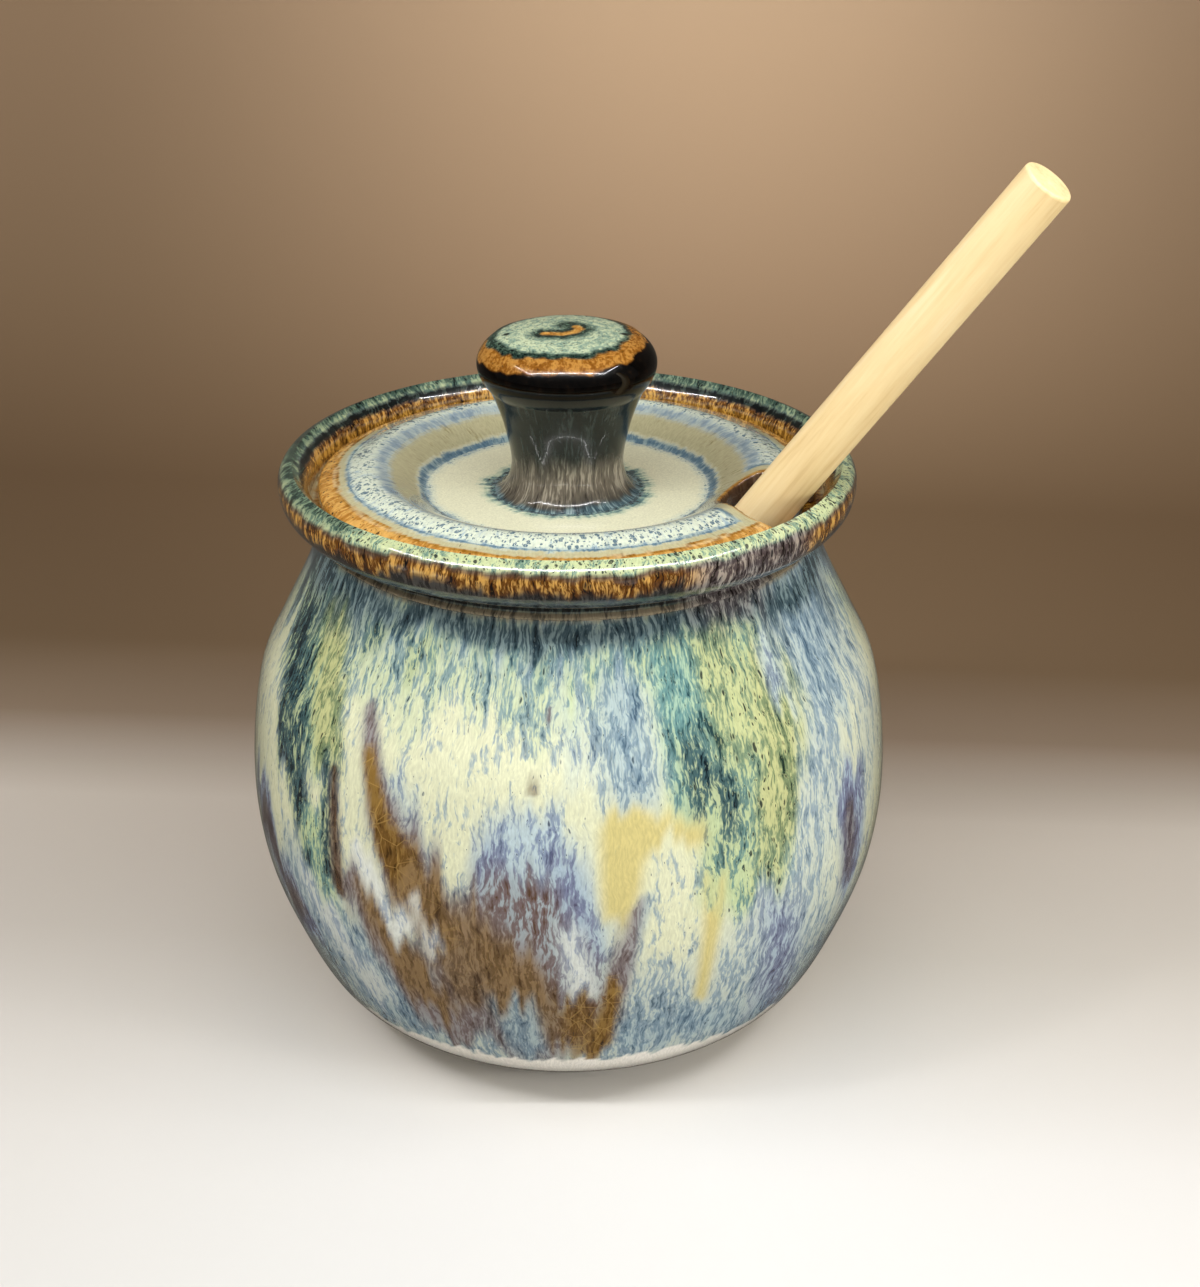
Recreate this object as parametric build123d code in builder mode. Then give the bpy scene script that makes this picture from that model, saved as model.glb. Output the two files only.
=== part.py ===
from build123d import *

import os
from math import cos, hypot, radians, sin

# Lidded stoneware honey pot: a bellied pot, a loose lid with a notch, and a wooden dipper.
#
# Millimetres, +Z up. The origin is the centre of the foot ring, on the surface that the pot
# stands on. The pot, lid and knob are turned about Z. The lid's notch and the dipper lie in
# the XZ plane, with the notch towards +X.

os.makedirs("parts", exist_ok=True)

# ---- driving dimensions: the pot ----------------------------------------------------------
pot_height = 96.6        # from the table to the top of the rolled rim
foot_r = 31.0            # outside of the foot ring
foot_ring_width = 5.5
foot_recess = 2.5        # how far the underside is hollowed inside the foot ring
floor_thickness = 5.5
wall = 4.0
belly_r = 52.5           # widest radius of the body
belly_z = 44.0
neck_z = 85.2            # where the shoulder runs up into the neck
neck_in = 1.4            # the neck's outside stands this far inside the gallery wall
bead_height = 1.3        # the thin raised line round the neck
bead_rise = 0.6
gallery_r = 41.0         # wall of the recess that the lid drops into
gallery_depth = 6.0      # from the top of the rim down to the ledge
crest_out = 2.7          # from the gallery wall out to the rim's highest line
rim_out = 5.0            # from the gallery wall to the outside of the rolled rim
rim_depth = 8.6          # from the top of the rim down to the groove under it
ledge_width = 3.4        # the ledge that carries the lid
throat_round = 1.0       # the eased inner corner of the ledge

# ---- driving dimensions: the lid and its knob ---------------------------------------------
lid_gap = 1.2            # radial clearance of the lid in the gallery
lid_edge = 2.0           # height of the lid's upright edge
lid_edge_round = 1.0     # its eased upper corner
lid_shoulder_in = 4.2    # from the lid's edge in to the outer flank of its rounded ring
lid_shoulder_rise = 3.9  # above the ledge, as the ring's top and the floor are
lid_roll_in = 8.6        # from the edge in to the ring's highest line
lid_roll_rise = 5.0
dish_in = 16.8           # from the edge in to where the ring meets the sunken floor
dish_rise = 0.8
knob_seat_r = 13.0       # flat land in the middle that the knob sits on
knob_seat_rise = 0.4
lid_seat_width = 11.8    # the flat underside that lies on the ledge, from the edge in
lid_thickness = 3.2      # below the knob's land
notch_side_gap = 5.0     # between the dipper and each side of the notch
notch_end_gap = 0.94     # between the dipper and the notch's round end, level with the ledge
notch_ease = 1.8         # corners where the notch meets the lid's edge
chamfer_size = 0.5       # lower corner of the lid's edge

knob_height = 26.6
knob_foot_r = 11.6
knob_waist_r = 8.9
knob_waist_rise = 4.7
knob_neck_r = 11.8       # just under the cap
knob_neck_rise = 15.4
knob_cap_r = 14.2
knob_cap_rise = 21.0
knob_top_r = 12.1        # edge of the domed top
knob_dome = 1.6

# ---- driving dimensions: the dipper -------------------------------------------------------
dowel_d = 8.0
dipper_length = 167.0
lean = 36.0              # degrees from upright
rest_gap = 0.3           # between the dipper and what it leans and stands on
dowel_ease = 0.5
head_length = 38.0
head_d = 24.0
head_tip_d = 13.0        # flat lower end
head_collar_d = 13.0     # upper end, round the dowel
head_round = 4.0
socket_depth = 18.0
groove_count = 6
groove_width = 2.4
groove_pitch = 4.4
groove_floor_d = 12.6    # core left between the discs

# ---- heights and radii that follow --------------------------------------------------------
rim_r = gallery_r + rim_out
crest_r = gallery_r + crest_out
neck_r = gallery_r - neck_in
ledge_z = pot_height - gallery_depth
throat_r = gallery_r - ledge_width
floor_z = foot_recess + floor_thickness
groove_z = pot_height - rim_depth
lid_r = gallery_r - lid_gap
dish_r = lid_r - dish_in
knob_seat_z = ledge_z + knob_seat_rise
dish_under_z = knob_seat_z - lid_thickness

# The dipper's axis leans in the XZ plane. The dowel lies against the throat's corner, and the
# head's rounded lower edge stands on the floor.
lean_x, lean_z = sin(radians(lean)), cos(radians(lean))
clear = dowel_d / 2 + rest_gap
pass_x = throat_r - clear * lean_z
pass_z = ledge_z + clear * lean_x
tip_corner_r = head_tip_d / 2
tip_z = floor_z + rest_gap + head_round * (1 - lean_z) + tip_corner_r * lean_x
tip_x = pass_x - (pass_z - tip_z) * lean_x / lean_z

# The notch is as wide as the dowel and its side gaps, and its round end clears the dowel.
notch_width = dowel_d + 2 * notch_side_gap
dowel_inner_x = pass_x - (pass_z - ledge_z) * lean_x / lean_z - dowel_d / 2 / lean_z
notch_end_x = dowel_inner_x - notch_end_gap


def inset(points, depth):
    """Points moved inwards by depth, square to the line between each one's neighbours."""
    moved = []
    for before, here, after in zip(points, points[1:], points[2:]):
        run, rise = after[0] - before[0], after[1] - before[1]
        length = hypot(run, rise)
        moved.append((here[0] - depth * rise / length, here[1] + depth * run / length))
    return moved


def lower_side(share_out, share_up):
    """A point of the body between the foot and the belly, by its share of the way."""
    return (foot_r + (belly_r - foot_r) * share_out, belly_z * share_up)


def upper_side(share_out, share_up):
    """A point of the body between the neck and the belly, by its share of the way."""
    return (neck_r + (belly_r - neck_r) * share_out, belly_z + (neck_z - belly_z) * share_up)


# ---- pot ----------------------------------------------------------------------------------
foot_corner = (foot_r, foot_recess / 2)
side = [
    foot_corner,
    lower_side(0.293, 0.105),
    lower_side(0.512, 0.207),
    lower_side(0.752, 0.436),
    lower_side(0.937, 0.700),
    (belly_r, belly_z),
    upper_side(0.829, 0.438),
    upper_side(0.543, 0.633),
    upper_side(0.233, 0.827),
    (neck_r, neck_z),
]
inside = inset(side[1:], wall) + [(neck_r - wall, neck_z - wall / 2)]
bead_top = neck_z + bead_height
roll = rim_r - crest_r                      # half the thickness of the rolled rim

with BuildPart() as pot:
    with BuildSketch(Plane.XZ):
        with BuildLine():
            # outside, from the foot up to the neck
            ease = foot_recess / 2
            foot_start = (foot_r - ease, 0)
            TangentArc(foot_start, foot_corner, tangent=(1, 0))
            Spline(*side)
            ThreePointArc(side[-1], (neck_r + bead_rise, neck_z + bead_height / 2),
                          (neck_r, bead_top))
            Line((neck_r, bead_top), (neck_r, groove_z))
            # rolled rim and gallery wall
            lip_start = (gallery_r, ledge_z + gallery_depth / 3)
            Spline(
                (neck_r, groove_z),
                (gallery_r + roll, groove_z + 0.9),
                (rim_r - 0.5, ledge_z + 0.6),
                (rim_r, pot_height - roll),
                (rim_r - roll / 3, pot_height - roll / 3),
                (crest_r, pot_height),
                (gallery_r + roll / 4, pot_height - roll),
                lip_start,
            )
            Line(lip_start, (gallery_r, ledge_z))
            Line((gallery_r, ledge_z), (throat_r + throat_round, ledge_z))
            # inside, from the throat down to the middle of the floor
            throat = TangentArc((throat_r + throat_round, ledge_z),
                                (throat_r, ledge_z - throat_round), tangent=(-1, 0))
            floor_edge = (foot_r, floor_z)
            Spline(throat @ 1, *reversed(inside), floor_edge)
            Line(floor_edge, (0, floor_z))
            # underside
            Line((0, floor_z), (0, foot_recess))
            Line((0, foot_recess), (foot_r - foot_ring_width - ease, foot_recess))
            Line((foot_r - foot_ring_width - ease, foot_recess), (foot_r - foot_ring_width, 0))
            Line((foot_r - foot_ring_width, 0), foot_start)
        make_face()
    revolve(axis=Axis.Z)
pot.part.label = "pot"
export_step(pot.part, "parts/pot.step")

# ---- lid ----------------------------------------------------------------------------------
with BuildPart() as lid:
    with BuildSketch(Plane.XZ):
        with BuildLine():
            seat_edge = (knob_seat_r, knob_seat_z)
            dish_edge = (dish_r, ledge_z + dish_rise)
            edge_top = (lid_r, ledge_z + lid_edge)
            Line((0, knob_seat_z), seat_edge)
            Line(seat_edge, dish_edge)
            top = Spline(
                dish_edge,
                (lid_r - lid_roll_in, ledge_z + lid_roll_rise),
                (lid_r - lid_shoulder_in, ledge_z + lid_shoulder_rise),
                (lid_r - lid_edge_round, ledge_z + lid_edge + lid_edge_round),
            )
            TangentArc(top @ 1, edge_top, tangent=top % 1)
            Line(edge_top, (lid_r, ledge_z + chamfer_size))
            Line((lid_r, ledge_z + chamfer_size), (lid_r - chamfer_size, ledge_z))
            seat_end = (lid_r - lid_seat_width, ledge_z)
            dish_under = (dish_r - lid_thickness / 2, dish_under_z)
            Line((lid_r - chamfer_size, ledge_z), seat_end)
            Line(seat_end, dish_under)
            Line(dish_under, (0, dish_under_z))
            Line((0, dish_under_z), (0, knob_seat_z))
        make_face()
    revolve(axis=Axis.Z)
    with BuildSketch(Plane.XY.offset(dish_under_z)) as outline:
        Circle(lid_r)
        with Locations((notch_end_x + notch_width / 2, 0)):
            Circle(notch_width / 2, mode=Mode.SUBTRACT)
            Rectangle(lid_r, notch_width, align=(Align.MIN, Align.CENTER), mode=Mode.SUBTRACT)
        fillet(outline.vertices().group_by(Axis.X)[-1], notch_ease)
    extrude(amount=pot_height, mode=Mode.INTERSECT)
lid.part.label = "lid"
export_step(lid.part, "parts/lid.step")

# ---- knob ---------------------------------------------------------------------------------
with BuildPart() as lid_knob:
    with BuildSketch(Plane.XZ):
        with BuildLine():
            knob_top = knob_seat_z + knob_height
            top_edge = (knob_top_r, knob_top - knob_dome)
            Line((0, knob_seat_z), (knob_foot_r, knob_seat_z))
            Spline(
                (knob_foot_r, knob_seat_z),
                (knob_waist_r, knob_seat_z + knob_waist_rise),
                (knob_neck_r, knob_seat_z + knob_neck_rise),
                (knob_cap_r, knob_seat_z + knob_cap_rise),
                top_edge,
            )
            Spline(top_edge, (0, knob_top), tangents=[(-1, 0.4), (-1, 0)])
            Line((0, knob_top), (0, knob_seat_z))
        make_face()
    revolve(axis=Axis.Z)
lid_knob.part.label = "lid_knob"
export_step(lid_knob.part, "parts/lid_knob.step")

# ---- dipper -------------------------------------------------------------------------------
dipper_plane = Plane(origin=(tip_x, 0, tip_z), x_dir=(lean_z, 0, -lean_x),
                     z_dir=(lean_x, 0, lean_z))
turning_plane = Plane(origin=dipper_plane.origin, x_dir=dipper_plane.x_dir,
                      z_dir=-dipper_plane.y_dir)
socket_start = head_length - socket_depth

with BuildPart() as dipper_stick:
    with BuildSketch(dipper_plane.offset(socket_start)):
        Circle(dowel_d / 2)
    extrude(amount=dipper_length - socket_start)
    fillet(dipper_stick.edges().sort_by(Axis.Z)[-1], dowel_ease)
dipper_stick.part.label = "dipper_stick"
export_step(dipper_stick.part, "parts/dipper_stick.step")

with BuildPart() as dipper_head:
    with BuildSketch(turning_plane):
        with BuildLine():
            tip_start = (tip_corner_r, 0)
            tip_end = (tip_corner_r + head_round, head_round)
            belly_end = (head_d / 2, head_length * 0.4)
            collar = (head_collar_d / 2, head_length)
            Line((0, 0), tip_start)
            TangentArc(tip_start, tip_end, tangent=(1, 0))
            Spline(tip_end, belly_end, collar, tangents=[(0, 1), (-1, 3)])
            Line(collar, (0, head_length))
            Line((0, head_length), (0, 0))
        make_face()
    revolve(axis=Axis(dipper_plane.origin, dipper_plane.z_dir))
    groove_start = (head_length - groove_pitch * (groove_count - 1)) / 2
    for index in range(groove_count):
        with BuildSketch(dipper_plane.offset(groove_start + index * groove_pitch)):
            Circle(head_d)
            Circle(groove_floor_d / 2, mode=Mode.SUBTRACT)
        extrude(amount=groove_width / 2, both=True, mode=Mode.SUBTRACT)
    with BuildSketch(dipper_plane.offset(socket_start)):
        Circle(dowel_d / 2)
    extrude(amount=socket_depth, mode=Mode.SUBTRACT)
dipper_head.part.label = "dipper_head"
export_step(dipper_head.part, "parts/dipper_head.step")

for piece in (pot, lid, lid_knob, dipper_stick, dipper_head):
    size = piece.part.bounding_box().size
    print(f"{piece.part.label}: {size.X:.1f} x {size.Y:.1f} x {size.Z:.1f} mm, "
          f"{piece.part.volume / 1000:.1f} cm3")
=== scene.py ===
"""Looks of a thrown stoneware honey pot with a loose notched lid and a wooden dipper.

Everything is in metres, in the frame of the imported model. Sizes are written in millimetres
and turned into metres by MM. The pot, lid and knob are turned pieces: each has a half
section, an Outline, which is spun about Z. Their glaze is laid on their vertices tone by
tone, and one shader turns those tones into streaks, specks and runs.
"""

import logging
import math
import random
from dataclasses import dataclass, field, replace
from enum import Enum
from typing import Any

import bpy
import numpy as np
from mathutils import Matrix, Vector


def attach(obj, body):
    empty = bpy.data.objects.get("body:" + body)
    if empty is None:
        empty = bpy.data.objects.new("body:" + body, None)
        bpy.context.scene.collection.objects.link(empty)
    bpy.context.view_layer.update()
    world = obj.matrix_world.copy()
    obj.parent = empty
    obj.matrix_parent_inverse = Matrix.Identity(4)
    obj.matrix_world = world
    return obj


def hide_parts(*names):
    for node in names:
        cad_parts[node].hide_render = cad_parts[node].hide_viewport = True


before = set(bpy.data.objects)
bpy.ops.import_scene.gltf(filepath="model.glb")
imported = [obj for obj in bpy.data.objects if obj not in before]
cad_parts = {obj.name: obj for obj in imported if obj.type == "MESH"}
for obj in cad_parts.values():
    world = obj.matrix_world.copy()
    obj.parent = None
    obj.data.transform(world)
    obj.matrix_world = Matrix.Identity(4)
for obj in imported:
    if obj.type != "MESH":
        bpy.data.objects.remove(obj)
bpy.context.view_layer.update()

log = logging.getLogger("honey_pot")

MM = 0.001
WELD = 0.01            # vertices of a turned piece closer than this become one, in millimetres
SMOOTH_UP_TO = 40      # degrees between faces up to which they shade as one
LEDGE_Z = 90.6         # height of the ledge in the rim, on which the lid lies
KNOB_SEAT_Z = 91.0     # height of the lid's flat middle, on which the knob stands
Point = tuple[float, float]


def linear(hex_colour: str) -> tuple[float, float, float, float]:
    """Turns an sRGB hex colour into linear RGBA.

    Args:
        hex_colour: Six hex digits, with or without a leading #.

    Returns:
        Red, green, blue and an alpha of 1.
    """
    digits = hex_colour.lstrip("#")
    shares = [int(digits[i:i + 2], 16) / 255 for i in (0, 2, 4)]
    red, green, blue = (
        share / 12.92 if share <= 0.04045 else ((share + 0.055) / 1.055) ** 2.4
        for share in shares
    )
    return red, green, blue, 1.0


# ---- glaze tones --------------------------------------------------------------------------
@dataclass(frozen=True)
class Pool:
    """One look of a two-layer rutile glaze: a glassy ground under an opaque bloom."""

    ground: str          # where the bloom has run off
    halo: str            # where the bloom is thin
    bloom: str           # where it is thick
    cover: float         # how much of the surface is under bloom, about 0 to 1
    dark: float = 0.0    # how far the dashes darken from the ground towards black
    dashes: float = 0.0  # how many dashes break through
    craze: float = 0.0   # strength of the fine crack net


class Tone(Enum):
    """The pools that the glaze gathers into."""

    CREAM = Pool("#566a7c", "#a3b1b0", "#dbdcba", 0.82, 0.3, 0.4)
    FRINGE = Pool("#34505c", "#87a09f", "#c9d3ae", 0.58, 0.5, 0.5)
    MIST = Pool("#566b78", "#8fa2ab", "#c3ccc0", 0.56, 0.3, 0.2)
    MILK = Pool("#7f8a9e", "#aab6c2", "#dcdfd6", 0.78)
    YELLOW = Pool("#8a8656", "#b8b07c", "#cfc180", 1.15)
    MOSS = Pool("#22362c", "#7b8b64", "#bec088", 0.58, 0.9, 0.7)
    SAGE = Pool("#26444a", "#6f9188", "#bccb9c", 0.56, 0.8, 0.65)
    TEAL = Pool("#23474e", "#67908e", "#a0bda6", 0.48, 0.7, 0.6)
    INK = Pool("#0e1c24", "#3d585b", "#b0bc92", 0.38, 0.9, 0.5)
    BLUE = Pool("#465f72", "#7a919f", "#a9bbbe", 0.50, 0.5, 0.4)
    LILAC = Pool("#56607c", "#8796ac", "#b9cacd", 0.54, 0.5, 0.45)
    VIOLET = Pool("#50506a", "#757c96", "#a2b4c2", 0.50, 0.3, 0.2)
    PLUM = Pool("#583f2c", "#746463", "#9ea8ab", 0.50, 0.2, 0.1)
    OLIVE = Pool("#422b0c", "#6c4d20", "#8b6b34", 0.60, 0.3, 0.1, 0.9)
    BROWN = Pool("#48331e", "#6c5434", "#8a6f4c", 0.58, 0.2, 0.1, 0.2)
    MAUVE = Pool("#564641", "#766866", "#938e8e", 0.54, 0.2, 0.1)
    UMBER = Pool("#2c1d14", "#4f3a2a", "#6e5a4a", 0.45, 0.3, 0.2, 0.2)
    SHOULDER = Pool("#16242a", "#3a4d54", "#76898a", 0.48, 0.7, 0.4)
    SLATE = Pool("#17191b", "#2b2b2b", "#454340", 0.52, 0.3, 0.1)
    STREAKED = Pool("#1a120f", "#4b4344", "#9a938c", 0.46, 0.7, 0.7)
    NIGHT = Pool("#050707", "#121817", "#2f3a36", 0.42, 0.6)
    BEAD = Pool("#2c2a24", "#5d5648", "#8d8068", 0.65, 0.3, 0.2)
    CARAMEL = Pool("#2a1604", "#7d4c14", "#ae7c38", 0.60, 0.6, 0.5)
    AMBER = Pool("#180b04", "#643c12", "#cf9f50", 0.43, 0.8, 0.6)
    HONEY = Pool("#4a2c0c", "#8a5a18", "#ad8036", 0.60, 0.2, 0.2)
    GOLD = Pool("#140d05", "#78521a", "#c09440", 0.52, 0.8, 0.6)
    KHAKI = Pool("#5a522e", "#968d64", "#b9b38e", 0.84, 0.2, 0.3)
    SAND = Pool("#5a380e", "#a8722a", "#d6a658", 0.60, 0.6, 0.7)
    CELADON = Pool("#16302e", "#6f8d7c", "#bfc99a", 0.68, 0.9, 0.95)
    FOREST = Pool("#060c0b", "#22342d", "#5d7462", 0.42, 0.9, 0.5)
    JADE = Pool("#1b3a38", "#809a8a", "#c0cba8", 0.60, 0.8, 0.85)
    PALE_BLUE = Pool("#4e6e84", "#a6bac2", "#d4dcc8", 0.74, 0.15, 1.1)
    RING_BLUE = Pool("#38546a", "#5e7b8d", "#93a9ac", 0.50, 0.0, 0.2)
    DUSK = Pool("#62788a", "#8599a6", "#a9b7b6", 0.58, 0.0, 0.2)
    DISH = Pool("#b4bcae", "#d2d6bc", "#eae9c9", 0.96, 0.1, 0.15)
    BLACK = Pool("#020202", "#070504", "#1a110a", 0.35, 0.6)
    SMOKE = Pool("#030505", "#0e1615", "#2a322f", 0.40, 0.5, 0.1)
    TAUPE = Pool("#27231e", "#5a5348", "#8a8272", 0.46, 0.2, 0.1)
    CLAY = Pool("#f0e8d8", "#f4eee0", "#f8f3e8", 0.90)


LAYERS = ("ground", "halo", "bloom")


# ---- turned outlines ----------------------------------------------------------------------
class Outline:
    """A turned piece's half section, drawn as (radius, height) points in millimetres."""

    def __init__(self, start: Point) -> None:
        """Starts the pen at a point."""
        self.points: list[Point] = [start]
        self.marks: dict[str, float] = {}

    @property
    def length(self) -> float:
        """Length of the line so far."""
        return float(self.distances()[-1])

    def distances(self) -> np.ndarray:
        """Distance along the line of each point."""
        steps = np.diff(np.array(self.points), axis=0)
        return np.concatenate([[0.0], np.cumsum(np.hypot(steps[:, 0], steps[:, 1]))])

    def mark(self, name: str) -> None:
        """Remembers where the pen is, as a distance along the line."""
        self.marks[name] = self.length

    def line(self, end: Point, spacing: float) -> None:
        """Draws a straight line.

        Args:
            end: Where it ends.
            spacing: The longest step between points.
        """
        start = self.points[-1]
        steps = max(1, math.ceil(math.dist(start, end) / spacing))
        for i in range(1, steps + 1):
            share = i / steps
            self.points.append((start[0] + (end[0] - start[0]) * share,
                                start[1] + (end[1] - start[1]) * share))

    def curve(self, through: list[Point], spacing: float) -> None:
        """Draws one smooth curve, a centripetal Catmull-Rom one, from the pen through points.

        Args:
            through: The points that it passes.
            spacing: The longest step between points.
        """
        knots = np.array([self.points[-1], *through], float)
        knots = np.vstack([2 * knots[0] - knots[1], knots, 2 * knots[-1] - knots[-2]])
        for i in range(1, len(knots) - 2):
            p0, p1, p2, p3 = knots[i - 1:i + 3]
            t1 = math.sqrt(math.dist(p0, p1))
            t2 = t1 + math.sqrt(math.dist(p1, p2))
            t3 = t2 + math.sqrt(math.dist(p2, p3))
            steps = max(2, math.ceil(math.dist(p1, p2) / spacing))
            for t in np.linspace(t1, t2, steps + 1)[1:]:
                a1 = (t1 - t) / t1 * p0 + t / t1 * p1
                a2 = (t2 - t) / (t2 - t1) * p1 + (t - t1) / (t2 - t1) * p2
                a3 = (t3 - t) / (t3 - t2) * p2 + (t - t2) / (t3 - t2) * p3
                b1 = (t2 - t) / t2 * a1 + t / t2 * a2
                b2 = (t3 - t) / (t3 - t1) * a2 + (t - t1) / (t3 - t1) * a3
                here = (t2 - t) / (t2 - t1) * b1 + (t - t1) / (t2 - t1) * b2
                self.points.append((float(here[0]), float(here[1])))

    def at(self, value: float, way: int, start: float, end: float) -> float:
        """Finds where one stretch of the line reaches a radius or a height.

        Args:
            value: The radius or height.
            way: 0 for a radius, 1 for a height.
            start: Distance along the line at which the stretch starts.
            end: Distance at which it ends.

        Returns:
            The distance along the line.
        """
        along = self.distances()
        inside = (along >= start) & (along <= end)
        reached, along = np.array(self.points)[inside, way], along[inside]
        order = reached.argsort()
        return float(np.interp(value, reached[order], along[order]))

    def place_of(self, radius: np.ndarray, height: np.ndarray) -> np.ndarray:
        """Finds how far along the line some places on the surface are.

        Args:
            radius: Distance of each place from the axis.
            height: Height of each place.

        Returns:
            The distance along the line of the point nearest to each place.
        """
        line = np.array(self.points, np.float32)
        along = self.distances()
        found = np.empty(len(radius))
        at_once = 20000
        for first in range(0, len(radius), at_once):
            part = slice(first, first + at_once)
            gap = ((radius[part, None] - line[None, :, 0]) ** 2
                   + (height[part, None] - line[None, :, 1]) ** 2)
            found[part] = along[gap.argmin(axis=1)]
        return found


# ---- modelling by operators ---------------------------------------------------------------
def deselect_all() -> None:
    """Leaves object mode with nothing selected."""
    if bpy.context.object and bpy.context.object.mode != "OBJECT":
        bpy.ops.object.mode_set(mode="OBJECT")
    bpy.ops.object.select_all(action="DESELECT")


def turned(name: str, outline: Outline, sides: int) -> bpy.types.Object:
    """Turns a half section about Z into a closed mesh.

    Args:
        name: The piece's name.
        outline: Its half section, from the axis and back to the axis.
        sides: Number of steps in the full turn.

    Returns:
        The new object, at the origin.
    """
    deselect_all()
    first = outline.points[0]
    bpy.ops.mesh.primitive_plane_add(size=MM, location=(first[0] * MM, 0, first[1] * MM))
    piece = bpy.context.object
    piece.name = name
    bpy.ops.object.mode_set(mode="EDIT")
    bpy.ops.mesh.merge(type="CENTER")
    for before, here in zip(outline.points, outline.points[1:]):
        step = ((here[0] - before[0]) * MM, 0, (here[1] - before[1]) * MM)
        bpy.ops.mesh.extrude_vertices_move(TRANSFORM_OT_translate={"value": step})
    bpy.ops.object.mode_set(mode="OBJECT")
    settle(piece)
    apply_modifier(piece, "SCREW", steps=sides, render_steps=sides,
                   use_merge_vertices=True, merge_threshold=WELD * MM)
    piece.select_set(True)
    bpy.context.view_layer.objects.active = piece
    bpy.ops.object.mode_set(mode="EDIT")
    bpy.ops.mesh.select_all(action="SELECT")
    bpy.ops.mesh.remove_doubles(threshold=WELD * MM)
    bpy.ops.mesh.normals_make_consistent(inside=False)
    bpy.ops.object.mode_set(mode="OBJECT")
    settle(piece)
    return piece


def settle(piece: bpy.types.Object) -> None:
    """Moves a finished piece's place into its mesh and smooths its faces.

    Args:
        piece: The piece, whose modifiers are applied as well.
    """
    deselect_all()
    bpy.context.view_layer.objects.active = piece
    piece.select_set(True)
    bpy.ops.object.transform_apply(location=True, rotation=True, scale=True)
    bpy.ops.object.shade_smooth_by_angle(angle=math.radians(SMOOTH_UP_TO))
    for modifier in list(piece.modifiers):
        bpy.ops.object.modifier_apply(modifier=modifier.name)
    deselect_all()


def apply_modifier(piece: bpy.types.Object, kind: str, **settings: Any) -> None:
    """Adds one modifier to a piece and applies it.

    Args:
        piece: The piece.
        kind: The modifier's type.
        settings: Its properties.
    """
    deselect_all()
    bpy.context.view_layer.objects.active = piece
    piece.select_set(True)
    modifier = piece.modifiers.new(kind.title(), kind)
    for key, value in settings.items():
        setattr(modifier, key, value)
    bpy.ops.object.modifier_apply(modifier=modifier.name)
    deselect_all()


# ---- laying the glaze ---------------------------------------------------------------------
def lattice_noise(across: np.ndarray, along: np.ndarray, cells: int, seed: int) -> np.ndarray:
    """Smooth random values that repeat round the piece.

    Args:
        across: Place round the piece, in cells.
        along: Place down the piece, in cells.
        cells: Number of cells in the full turn.
        seed: Picks the pattern.

    Returns:
        A value from 0 to 1 for each place.
    """
    rows = 128
    grid = np.random.default_rng(seed).random((cells, rows))
    i, j = np.floor(across).astype(int), np.floor(along).astype(int)
    x, y = across - i, along - j
    x, y = x * x * (3 - 2 * x), y * y * (3 - 2 * y)
    low = grid[i % cells, j % rows] * (1 - x) + grid[(i + 1) % cells, j % rows] * x
    high = (grid[i % cells, (j + 1) % rows] * (1 - x)
            + grid[(i + 1) % cells, (j + 1) % rows] * x)
    return low * (1 - y) + high * y


def ramp(value: np.ndarray, low: float, high: float) -> np.ndarray:
    """Rises smoothly from 0 at low to 1 at high."""
    share = np.clip((value - low) / (high - low), 0, 1)
    return share * share * (3 - 2 * share)


@dataclass(frozen=True)
class Sway:
    """One size of the wandering that keeps the edges of laid glaze from being straight."""

    reach: float          # how far it moves an edge, in millimetres
    width: float          # width of a cell of noise, in millimetres at the girth
    length: float         # length of a cell
    seed: int             # picks the pattern


FINE_EDGE = Sway(1.0, 1.2, 6.0, 11)
BROAD_EDGE = Sway(1.0, 9.0, 20.0, 12)
RUN_SIDES = Sway(0.9, 7.0, 22.0, 21)
RUN_HAIRS = Sway(3.6, 1.9, 40.0, 22)
RUN_FINE_HAIRS = Sway(2.4, 0.95, 30.0, 23)
SWAY_SHIFT = 7            # cells by which the noise is moved down the piece


@dataclass(frozen=True)
class Run:
    """A run of glaze down a piece, between two places given as (degrees, millimetres)."""

    tone: Tone
    start: Point
    end: Point
    width: Point          # at its start and its end, in millimetres
    feather: float = 4.0  # how softly its edges fade
    share: float = 1.0    # how much of it covers what is there
    ragged: float = 1.0   # how far its ends are drawn out into hairs


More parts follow.
